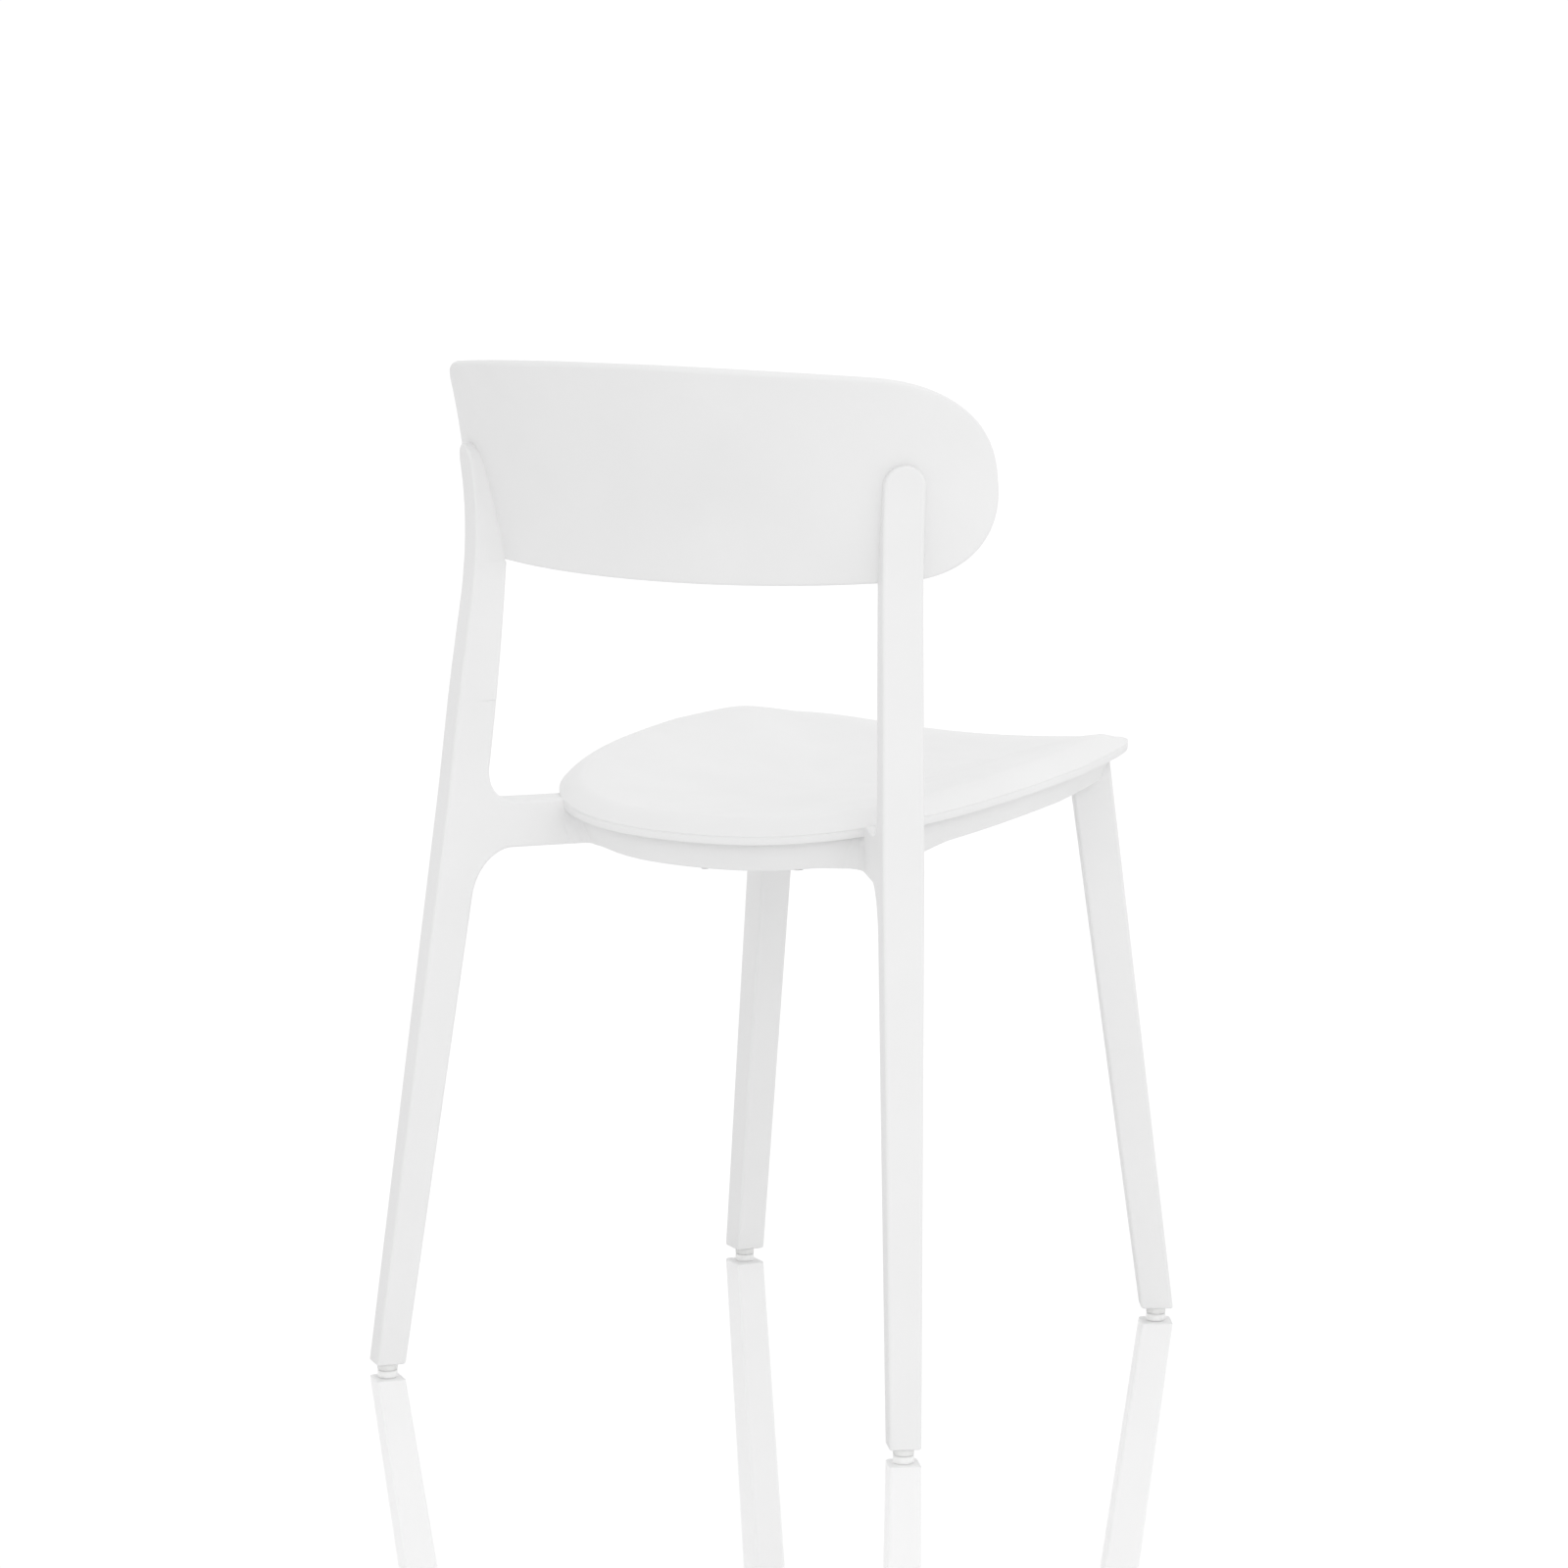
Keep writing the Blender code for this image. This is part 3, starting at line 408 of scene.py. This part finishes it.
def ring_section(station):
    """Section of the ring at one station: outer wall, lower edge, inner wall and the hollow between them."""
    outer = [(RING_PROFILE[0][0], SEAT_WALL - station.crest * RING_CREST_SHARE + RING_TOP_GAP)]
    for inset, depth in RING_PROFILE[1:]:
        outer.append((inset, depth + station.dip * depth / RING_HEIGHT))
    start, height = RING_PROFILE[-1][0], RING_HEIGHT + station.dip
    for step in range(1, 6):
        turn = math.radians(18.0 * step)
        out = start + RING_EDGE_STEP + RING_EDGE * (1.0 - math.cos(turn))
        outer.append((out, height - RING_EDGE * (1.0 - math.sin(turn))))
    floor = height - RING_WALL
    top = dish_depth(station, RING_INNER) + SEAT_WALL + RING_INNER_GAP
    inner = [(RING_INNER - RING_SOFT, height), (RING_INNER, height - RING_SOFT), (RING_INNER, top)]
    inner += [(RING_INNER - RING_WALL, top), (RING_INNER - RING_WALL, floor)]
    inside = [(start + RING_WALL, floor), (RING_PROFILE[0][0] + RING_WALL, outer[0][1])]
    return [station.at(*place) for place in outer + inner + inside]


def ring_piece(stations, material):
    bm = bmesh.new()
    loft(bm, [ring_section(s) for s in stations], closed=True)
    return piece("seat_frame", bm, material, "seat_ring", smooth_angle=30.0)


# ---- legs -----------------------------------------------------------------------------------------
def leg_frame(side, turn, forward):
    outward = Vector((side * math.sin(turn), forward * math.cos(turn), 0.0))
    sideways = Vector((-side * math.cos(turn), forward * math.sin(turn), 0.0))
    return outward, sideways


def leg_centre(side, foot, knee, z):
    share = (z - FOOT_Z) / (KNEE_Z - FOOT_Z)
    return Vector((side * lerp(foot[0], knee[0], share), lerp(foot[1], knee[1], share), z))


def leg_size(pair, z):
    return lerp(pair[0], pair[1], (z - FOOT_Z) / (KNEE_Z - FOOT_Z))


def rounded_square(half_out, half_side, radius, steps=6):
    points = []
    for a, b, start in ((1, 1, 0), (-1, 1, 90), (-1, -1, 180), (1, -1, 270)):
        for i in range(steps):
            turn = math.radians(start + 90.0 * i / (steps - 1))
            points.append((
                a * (half_out - radius) + radius * math.cos(turn),
                b * (half_side - radius) + radius * math.sin(turn),
            ))
    return points


def front_leg(side, hand, material):
    bm = bmesh.new()
    outward, sideways = leg_frame(side, FRONT_TURN, -1)
    rings = []
    levels = [(FOOT_Z, FOOT_SOFT), (FOOT_Z + FOOT_SOFT, 0.0)]
    levels += [(0.02 + i * 0.02, 0.0) for i in range(21)] + [(FRONT_TOP, 0.0)]
    for z, trim in levels:
        centre = leg_centre(side, FRONT_FOOT, FRONT_KNEE, z)
        half_out = leg_size(FRONT_DEPTH, z) / 2.0 - trim
        half_side = leg_size(FRONT_WIDTH, z) / 2.0 - trim
        section = rounded_square(half_out, half_side, LEG_ROUND)
        rings.append([centre + outward * a + sideways * b for a, b in section])
    loft(bm, rings)
    return piece("front_leg_skin_" + hand, bm, material, "front_leg_" + hand)


# ---- back panel -----------------------------------------------------------------------------------
def back_bend():
    """The panel's curve in plan from its middle, as (length along it, x, y back from the middle)."""
    step = BACK_BEND_SPAN / BACK_BEND_STEPS
    rows = [(0.0, 0.0, 0.0)]
    for i in range(BACK_BEND_STEPS):
        width = (i + 0.5) * step
        turn = width / BACK_RADIUS * (1.0 + BACK_TIGHTEN * width * width)
        last = rows[-1]
        rows.append((last[0] + step, last[1] + math.cos(turn) * step, last[2] - math.sin(turn) * step))
    return rows


BACK_BEND = back_bend()


def bend_at(value, column):
    """The row of the curve whose given column has this value."""
    rows = BACK_BEND
    low, high = 0, len(rows) - 1
    while high - low > 1:
        middle = (low + high) // 2
        if rows[middle][column] > value:
            high = middle
        else:
            low = middle
    share = (value - rows[low][column]) / (rows[high][column] - rows[low][column])
    return [lerp(a, b, share) for a, b in zip(rows[low], rows[high])]


def back_rear(width, height):
    """A point of the rear face: width along the curve from the middle, height up from the lower edge."""
    _, x, y = bend_at(abs(width), 0)
    lean = BACK_LEAN - BACK_LEAN_LOSS * (width / BACK_SPAN) ** 2
    return Vector((
        math.copysign(x, width), BACK_Y + y + lean * height + BACK_FLARE * height * height, BACK_Z + height))


def back_normal(width, height):
    step = 0.001
    along = back_rear(width + step, height) - back_rear(width - step, height)
    up = back_rear(width, height + step) - back_rear(width, height - step)
    return up.cross(along).normalized()


def back_rear_y(x, z):
    return back_rear(bend_at(abs(x), 1)[0], z - BACK_Z).y


def back_outline(count):
    quarter = count // 4
    points = []
    for i in range(count):
        part, step = divmod(i, quarter)
        share = step / quarter
        walk = share if part % 2 == 0 else 1.0 - share
        ends = 0.6
        if walk < ends:
            turn = math.pi / 2.0 * walk / ends
            x = BACK_HALF - BACK_END + BACK_END * math.cos(turn) ** (2.0 / BACK_POWER)
            z = BACK_HEIGHT / 2.0 * math.sin(turn) ** (2.0 / BACK_POWER)
        else:
            x = (BACK_HALF - BACK_END) * (1.0 - (walk - ends) / (1.0 - ends))
            z = BACK_HEIGHT / 2.0
        points.append((x if part in (0, 3) else -x, z if part in (0, 1) else -z))
    return points


def back_height(width, z):
    pull = (width / BACK_SPAN) ** 2 * abs(z) / (BACK_HEIGHT / 2.0)
    return BACK_HEIGHT / 2.0 + z + (-BACK_CROWN if z > 0.0 else BACK_SAG) * pull


def back_piece(material):
    outline = back_outline(BACK_OUTLINE)
    span = BACK_HALF - BACK_END
    edge = []
    for step in range(0, 7):
        turn = math.radians(15.0 * step)
        edge.append((BACK_ROUND * (1.0 - math.sin(turn)), BACK_ROUND * (1.0 - math.cos(turn))))
    edge += [(inset, BACK_WALL - depth) for inset, depth in edge[::-1]]
    insets = [0.075 - 0.006 * i for i in range(12)]
    rows = [(inset, 0.0) for inset in insets] + edge + [(inset, BACK_WALL) for inset in insets[::-1]]
    bm = bmesh.new()
    rings = []
    for inset, depth in rows:
        ring = []
        for width, z in outline:
            core = Vector((clamp(width, -span, span), 0.0))
            arm = Vector((width, z)) - core
            place = core + arm * (1.0 - inset / max(arm.length, 0.001))
            height = back_height(place.x, place.y)
            ring.append(back_rear(place.x, height) - back_normal(place.x, height) * depth)
        rings.append(ring)
    loops = loft(bm, rings, caps=False)
    for loop in (loops[0], loops[-1]):
        fill_strip(bm, loop)
    return piece("back_panel", bm, material, "backrest")


def fill_strip(bm, loop):
    """Fill a flat loop with strips between its upper and its lower half."""
    half = len(loop) // 2
    for i in range(half):
        upper = (loop[i], loop[i + 1])
        lower = (loop[(len(loop) - i - 1) % len(loop)], loop[(len(loop) - i) % len(loop)])
        corners = []
        for vert in (upper[0], upper[1], lower[0], lower[1]):
            if vert not in corners:
                corners.append(vert)
        bm.faces.new(corners)


# ---- rear legs ------------------------------------------------------------------------------------
def panel_reach(side, across, z):
    """How far out the panel's rear face is, along a rear leg's outward direction."""
    outward, sideways = leg_frame(side, REAR_TURN, 1)
    start = leg_centre(side, REAR_FOOT, REAR_KNEE, z) + sideways * across
    low, high = -0.05, 0.08
    for _ in range(30):
        reach = (low + high) / 2.0
        place = start + outward * reach
        if place.y > back_rear_y(place.x, z):
            high = reach
        else:
            low = reach
    return high


def tongue_inner(side, across, z):
    """The tongue's inner face sinks a hair into the panel, so no light shows between them."""
    return panel_reach(side, across, z) - TONGUE_SINK


def outer_reach(z):
    if z < KNEE_Z:
        return leg_size(REAR_DEPTH, z) / 2.0
    straight = REAR_DEPTH[1] / 2.0 + UPRIGHT_SWELL * smooth_step((z - KNEE_Z) / UPRIGHT_SWELL_RISE)
    bent, leaning = (max(z - start, 0.0) for start in TONGUE_BEND_Z)
    return straight + TONGUE_BEND * bent ** 2 + TONGUE_LEAN * leaning


def inner_reach(z):
    if z < KNEE_Z:
        return -leg_size(REAR_DEPTH, z) / 2.0
    return -REAR_DEPTH[1] / 2.0 + UPRIGHT_THINNING * ((z - KNEE_Z) / (STEP_Z - KNEE_Z)) ** 2


def half_width(z):
    if z < KNEE_Z:
        return leg_size(REAR_WIDTH, z) / 2.0
    return lerp(REAR_WIDTH[1], TONGUE_WIDTH, smooth_step((z - KNEE_Z) / UPRIGHT_NARROWING)) / 2.0


def edge_row():
    """Rounded edge of a leg, from the side face to the outer face, as (in from the side, under the face)."""
    row = [(0.0, LEG_ROUND + SUPPORT)]
    for i in range(EDGE_STEPS + 1):
        turn = math.radians(90.0 * (1.0 - i / EDGE_STEPS))
        row.append((LEG_ROUND * (1.0 - math.sin(turn)), LEG_ROUND * (1.0 - math.cos(turn))))
    row.append((LEG_ROUND + SUPPORT, 0.0))
    return row


EDGE = edge_row()


class RearLeg:
    """Points of one rear leg: reach is out from its centre line, across is sideways from it."""

    def __init__(self, side):
        self.side = side
        self.outward, self.sideways = leg_frame(side, REAR_TURN, 1)

    def place(self, z, reach, across):
        centre = leg_centre(self.side, REAR_FOOT, REAR_KNEE, z)
        return centre + self.outward * reach + self.sideways * across

    def strip(self, z, face, trim=0.0, lift=None):
        """One row across the outer (face 1) or inner (face -1) side; lift turns it over the tongue's cap."""
        points = []
        for hand, row in ((1, EDGE), (-1, EDGE[::-1])):
            for inset, depth in row:
                half = half_width(z) - inset - trim
                across, height = hand * half, z
                if lift is not None:
                    across, height = hand * half * math.cos(lift), z + half * math.sin(lift)
                if face > 0:
                    reach = outer_reach(height) - depth - trim
                elif z < STEP_Z:
                    reach = inner_reach(height) + depth + trim
                else:
                    reach = tongue_inner(self.side, across, height)
                points.append(self.place(height, reach, across))
        return points

    def along(self, curve, up):
        """Rows across the arm's top (up 1) or underside (up -1), following a curve of (reach, z)."""
        rows = []
        for i, (reach, z) in enumerate(curve):
            before, after = curve[max(i - 1, 0)], curve[min(i + 1, len(curve) - 1)]
            run, rise = after[0] - before[0], after[1] - before[1]
            length = math.hypot(run, rise)
            normal = (up * rise / length, -up * run / length)
            points = []
            for hand, row in ((1, EDGE), (-1, EDGE[::-1])):
                for inset, depth in row:
                    across = hand * (half_width(z) - inset)
                    here = reach - normal[0] * depth
                    if i == len(curve) - 1:
                        share = (across / half_width(z) + 1.0) / 2.0
                        here = -REAR_DEPTH[1] / 2.0 - lerp(ARM_END[-1], ARM_END[1], share)
                        here -= ARM_END_SLANT * (ARM_TOP - z) / (ARM_TOP - ARM_BOTTOM)
                    points.append(self.place(z - normal[1] * depth, here, across))
            rows.append(points)
        return rows


def arm_curve(top):
    """The inner face's line from the leg into the arm, as (reach, z), ending inside the ring."""
    level, fillet = (ARM_TOP, ARM_FILLET_TOP) if top else (ARM_BOTTOM, -ARM_FILLET_BOTTOM)
    span = abs(fillet) * (0.9 if top else 0.75)
    start = ARM_TO if top else ARM_FROM
    curve = [(inner_reach(z), z) for z in (lerp(start, level + fillet, i / 4.0) for i in range(4))]
    for i in range(25):
        turn = math.radians(90.0 * i / 24.0)
        z = level + fillet * (1.0 - math.sin(turn))
        curve.append((inner_reach(z) - span * (1.0 - math.cos(turn)), z))
    root = inner_reach(level)
    curve += [(root - lerp(span, ARM_END[1] - 0.004, i / 5.0), level) for i in range(1, 6)]
    curve.append((root - ARM_END[-1], level))
    return curve


def rear_leg(side, hand_name, material):
    """Leg, arm and upright in one skin: rings below and above the arm, and strips round it."""
    shape = RearLeg(side)
    bm = bmesh.new()

    def skin(rows):
        loops = [[bm.verts.new(point) for point in row] for row in rows]
        for lower, upper in zip(loops, loops[1:]):
            for i in range(len(lower) - 1):
                bm.faces.new((lower[i], lower[i + 1], upper[i + 1], upper[i]))
        return loops

    def ring(z, trim=0.0, lift=None):
        return shape.strip(z, 1, trim, lift) + shape.strip(z, -1, trim, lift)[::-1]

    foot_zs = [lerp(FOOT_Z + FOOT_SOFT, ARM_FROM, i / 14.0) for i in range(15)]
    loft(bm, [ring(FOOT_Z, FOOT_SOFT)] + [ring(z) for z in foot_zs])
    bm.faces.ensure_lookup_table()
    bm.faces.remove(bm.faces[-1])
    cap_z = TONGUE_TOP - half_width(TONGUE_TOP)
    rows = [ring(lerp(ARM_TO, STEP_Z - 0.0003, i / 10.0)) for i in range(11)]
    rows += [ring(lerp(STEP_Z, cap_z, i / 12.0)) for i in range(13)]
    rows += [ring(cap_z, 0.0, math.radians(90.0 * i / 20.0)) for i in range(1, 21)]
    loft(bm, rows, caps=False)
    heights = [ARM_FROM, 0.385, KNEE_Z] + [KNEE_Z + 0.02 * i for i in range(1, 5)] + [ARM_TO]
    outer = skin([shape.strip(z, 1) for z in heights])
    upper = skin(shape.along(arm_curve(True), 1))
    lower = skin(shape.along(arm_curve(False), -1))
    for end in (0, -1):
        bm.faces.new([row[end] for row in outer + upper + lower[::-1]])
    bm.faces.new(upper[-1] + lower[-1][::-1])
    bmesh.ops.remove_doubles(bm, verts=bm.verts, dist=0.00002)
    return piece("rear_leg_skin_" + hand_name, bm, material, "rear_leg_" + hand_name)


def ring_inset(depth):
    """How far in the ring's outer wall is at a depth below the lip."""
    for (inset, above), (next_inset, under) in zip(RING_PROFILE, RING_PROFILE[1:]):
        if depth < under:
            return lerp(inset, next_inset, clamp((depth - above) / (under - above), 0.0, 1.0))
    return RING_PROFILE[-1][0]


def arm_root(side, hand_name, edge, stations, material):
    """Soft corner between one side face of an arm and the ring's wall."""
    shape = RearLeg(side)
    low, high = ARM_BOTTOM + 0.0003, ARM_TOP - 0.0003
    rows = []
    for step in range(13):
        turn = math.radians(15.0 * step)
        if step < 6:
            z = low + LEG_ROUND * (1.0 - math.cos(turn))
            trim = LEG_ROUND * (1.0 - math.sin(turn))
        elif step > 6:
            z = high - LEG_ROUND * (1.0 + math.cos(turn))
            trim = LEG_ROUND * (1.0 - math.sin(turn))
        else:
            z, trim = (low + high) / 2.0, 0.0
        centre = leg_centre(side, REAR_FOOT, REAR_KNEE, z)
        wall = []
        for station in stations:
            below = station.lip - z
            place = station.at(ring_inset(below / (1.0 + station.dip / RING_HEIGHT)), below) - centre
            reach = place.dot(shape.outward)
            if -0.14 < reach < 0.0:
                foot = station.lip - RING_HEIGHT - station.dip
                wall.append((place.dot(shape.sideways) * edge, reach, foot))
        wall.sort()

        def wall_reach(across, column=1):
            for here, there in zip(wall, wall[1:]):
                if here[0] <= across < there[0]:
                    return lerp(here[column], there[column], (across - here[0]) / (there[0] - here[0]))
            return wall[-1][column]

        half = half_width(z)
        corner = wall_reach(half)
        start = (corner + ARM_ROOT_RADIUS, half - 0.0003)
        end = (wall_reach(half + ARM_ROOT_RADIUS) - 0.0003, half + ARM_ROOT_RADIUS)
        lift = max(wall_reach(end[1], 2) + 0.0004 - low, 0.0) * (high - z) / (high - low)
        sink = trim * RING_EDGE / LEG_ROUND + (RING_EDGE_STEP if step < 6 else 0.0)
        row = []
        for i in range(13):
            share = i / 12.0
            keep = 1.0 - share
            reach = keep * keep * start[0] + 2.0 * keep * share * corner + share * share * end[0]
            across = keep * keep * start[1] + 2.0 * keep * share * half + share * share * end[1]
            row.append((reach - sink * share, across - trim * keep, z + lift * share))
        row.append((corner - 0.005, half + ARM_ROOT_RADIUS - 0.003, z + lift))
        row.append((corner - 0.005, half - 0.004, z))
        row.append((corner + ARM_ROOT_RADIUS - 0.003, half - 0.004, z))
        rows.append([shape.place(height, reach, across * edge) for reach, across, height in row])
    bm = bmesh.new()
    loft(bm, rows)
    return piece("arm_root_" + hand_name, bm, material, None)


# ---- glides ---------------------------------------------------------------------------------------
def glide(name, foot, material):
    bm = bmesh.new()
    top = foot.z - 0.0003
    base = Vector((foot.x, foot.y, 0.0))
    edge = [(0.0012, 0.0), (0.0008, 0.0001), (0.0003, 0.0004), (0.0, 0.0012)]
    edge += [(0.0, top - 0.0010), (0.0004, top - 0.0002), (0.0010, top)]
    profile = [(GLIDE_RADIUS - inset, height) for inset, height in edge]
    turned(bm, base, (0, 0, 1), [(0, 0)] + profile + [(0, top)])
    return piece(name + "_disc", bm, material, name)


# ---- studio ---------------------------------------------------------------------------------------
def studio():
    scene = bpy.context.scene
    scene.view_settings.view_transform = "Standard"
    world = bpy.data.worlds.new("white_studio")
    scene.world = world
    world.use_nodes = True
    nodes, links = world.node_tree.nodes, world.node_tree.links
    nodes.clear()

    def background(strength):
        node = nodes.new("ShaderNodeBackground")
        node.inputs["Color"].default_value = (1.0, 1.0, 1.0, 1.0)
        node.inputs["Strength"].default_value = strength
        return node

    # brighter overhead and on the sitter's right, and plain white where the camera or a gloss sees it
    place = nodes.new("ShaderNodeTexCoord")
    tilt = nodes.new("ShaderNodeVectorMath")
    tilt.operation = "DOT_PRODUCT"
    tilt.inputs[1].default_value = WORLD_TILT
    links.new(place.outputs["Generated"], tilt.inputs[0])
    level = nodes.new("ShaderNodeMath")
    level.operation = "ADD"
    level.inputs[1].default_value = WORLD_LEVEL
    links.new(tilt.outputs["Value"], level.inputs[0])
    light = background(1.0)
    links.new(level.outputs["Value"], light.inputs["Strength"])
    path = nodes.new("ShaderNodeLightPath")
    glossy = nodes.new("ShaderNodeMixShader")
    links.new(path.outputs["Is Glossy Ray"], glossy.inputs[0])
    links.new(light.outputs[0], glossy.inputs[1])
    links.new(background(WORLD_GLOSS).outputs[0], glossy.inputs[2])
    pick = nodes.new("ShaderNodeMixShader")
    links.new(path.outputs["Is Camera Ray"], pick.inputs[0])
    links.new(glossy.outputs[0], pick.inputs[1])
    links.new(background(WORLD_SEEN).outputs[0], pick.inputs[2])
    out = nodes.new("ShaderNodeOutputWorld")
    links.new(pick.outputs[0], out.inputs["Surface"])

    lamp = bpy.data.lights.new("softbox", "AREA")
    lamp.shape = "DISK"
    lamp.size = SOFTBOX_SIZE
    lamp.energy = SOFTBOX_POWER
    box = bpy.data.objects.new("softbox", lamp)
    box.location = SOFTBOX_PLACE
    aim = (Vector(SOFTBOX_AIM) - Vector(SOFTBOX_PLACE)).normalized()
    box.rotation_euler = aim.to_track_quat("-Z", "Y").to_euler()
    box.visible_glossy = False
    scene.collection.objects.link(box)

    bm = bmesh.new()
    bmesh.ops.create_grid(bm, x_segments=1, y_segments=1, size=FLOOR_SIZE)
    mesh = bpy.data.meshes.new("floor")
    bm.to_mesh(mesh)
    bm.free()
    floor = bpy.data.objects.new("floor", mesh)
    scene.collection.objects.link(floor)
    mesh.materials.append(floor_material())


def floor_material():
    """White floor with a gloss that mirrors the legs at a low angle; it lights the chair as plain white."""
    material = bpy.data.materials.new("floor_white")
    material.use_nodes = True
    nodes, links = material.node_tree.nodes, material.node_tree.links
    nodes.clear()
    glow = nodes.new("ShaderNodeEmission")
    glow.inputs["Color"].default_value = (1.0, 1.0, 1.0, 1.0)
    glow.inputs["Strength"].default_value = FLOOR_GLOW
    gloss = nodes.new("ShaderNodeBsdfGlossy")
    gloss.inputs["Color"].default_value = (1.0, 1.0, 1.0, 1.0)
    gloss.inputs["Roughness"].default_value = FLOOR_ROUGHNESS
    fresnel = nodes.new("ShaderNodeFresnel")
    fresnel.inputs["IOR"].default_value = FLOOR_IOR
    amount = nodes.new("ShaderNodeMath")
    amount.operation = "MULTIPLY"
    amount.use_clamp = True
    amount.inputs[1].default_value = FLOOR_GLOSS
    links.new(fresnel.outputs[0], amount.inputs[0])
    seen = nodes.new("ShaderNodeMixShader")
    links.new(amount.outputs["Value"], seen.inputs[0])
    links.new(glow.outputs[0], seen.inputs[1])
    links.new(gloss.outputs[0], seen.inputs[2])
    bounce = nodes.new("ShaderNodeBsdfDiffuse")
    bounce.inputs["Color"].default_value = (FLOOR_WHITE, FLOOR_WHITE, FLOOR_WHITE, 1.0)
    path = nodes.new("ShaderNodeLightPath")
    pick = nodes.new("ShaderNodeMixShader")
    links.new(path.outputs["Is Camera Ray"], pick.inputs[0])
    links.new(bounce.outputs[0], pick.inputs[1])
    links.new(seen.outputs[0], pick.inputs[2])
    out = nodes.new("ShaderNodeOutputMaterial")
    links.new(pick.outputs[0], out.inputs["Surface"])
    return material


def camera():
    data = bpy.data.cameras.new("camera")
    data.sensor_width = CAMERA_SENSOR
    data.lens = CAMERA_LENS
    data.clip_end = 200.0
    obj = bpy.data.objects.new("camera", data)
    bpy.context.scene.collection.objects.link(obj)
    eye = Vector(CAMERA_EYE)
    target = Vector(CAMERA_TARGET)
    back = (eye - target).normalized()
    right = Vector((0.0, 0.0, 1.0)).cross(back).normalized()
    up = back.cross(right)
    turn = Matrix((right, up, back)).transposed()
    obj.matrix_world = Matrix.Translation(eye) @ turn.to_4x4()
    bpy.context.scene.camera = obj


# ---- assembly -------------------------------------------------------------------------------------
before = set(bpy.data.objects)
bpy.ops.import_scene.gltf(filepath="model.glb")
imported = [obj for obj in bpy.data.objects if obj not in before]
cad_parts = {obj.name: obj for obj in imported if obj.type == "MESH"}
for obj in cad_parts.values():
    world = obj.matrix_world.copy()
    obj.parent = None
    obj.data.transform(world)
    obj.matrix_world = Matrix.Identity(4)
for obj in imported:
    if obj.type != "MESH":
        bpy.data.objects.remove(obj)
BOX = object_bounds()

seat_white = satin("seat_satin_white", WHITE, SATIN_ROUGHNESS)
frame_white = satin("frame_satin_white", WHITE, SATIN_ROUGHNESS)
back_white = satin("back_satin_white", WHITE, SATIN_ROUGHNESS)
glide_white = satin("glide_white", GLIDE_WHITE, 0.32, grain_size=0.002)
pad_grey = satin("pad_rubber_grey", PAD_GREY, 0.75, grain_size=0.0005, grain_depth=0.00004)
zinc = satin("screw_zinc", ZINC, 0.34, grain_size=0.0008, metallic=1.0)

STATIONS = seat_stations()
seat_piece(STATIONS, seat_white)
ring_piece(STATIONS, frame_white)
back_piece(back_white)
for side, hand in ((1, "left"), (-1, "right")):
    rear_leg(side, hand, frame_white)
    for edge, name in ((1, "_a"), (-1, "_b")):
        arm_root(side, hand + name, edge, STATIONS, frame_white)
    front_leg(side, hand, frame_white)
    for place, foot, knee in (("rear", REAR_FOOT, REAR_KNEE), ("front", FRONT_FOOT, FRONT_KNEE)):
        disc = glide("glide_" + place + "_" + hand, leg_centre(side, foot, knee, FOOT_Z), glide_white)

for name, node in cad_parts.items():
    if "screw" in name:
        node.data.materials.clear()
        node.data.materials.append(zinc)
    elif "pad" in name:
        node.data.materials.clear()
        node.data.materials.append(pad_grey)

studio()
camera()
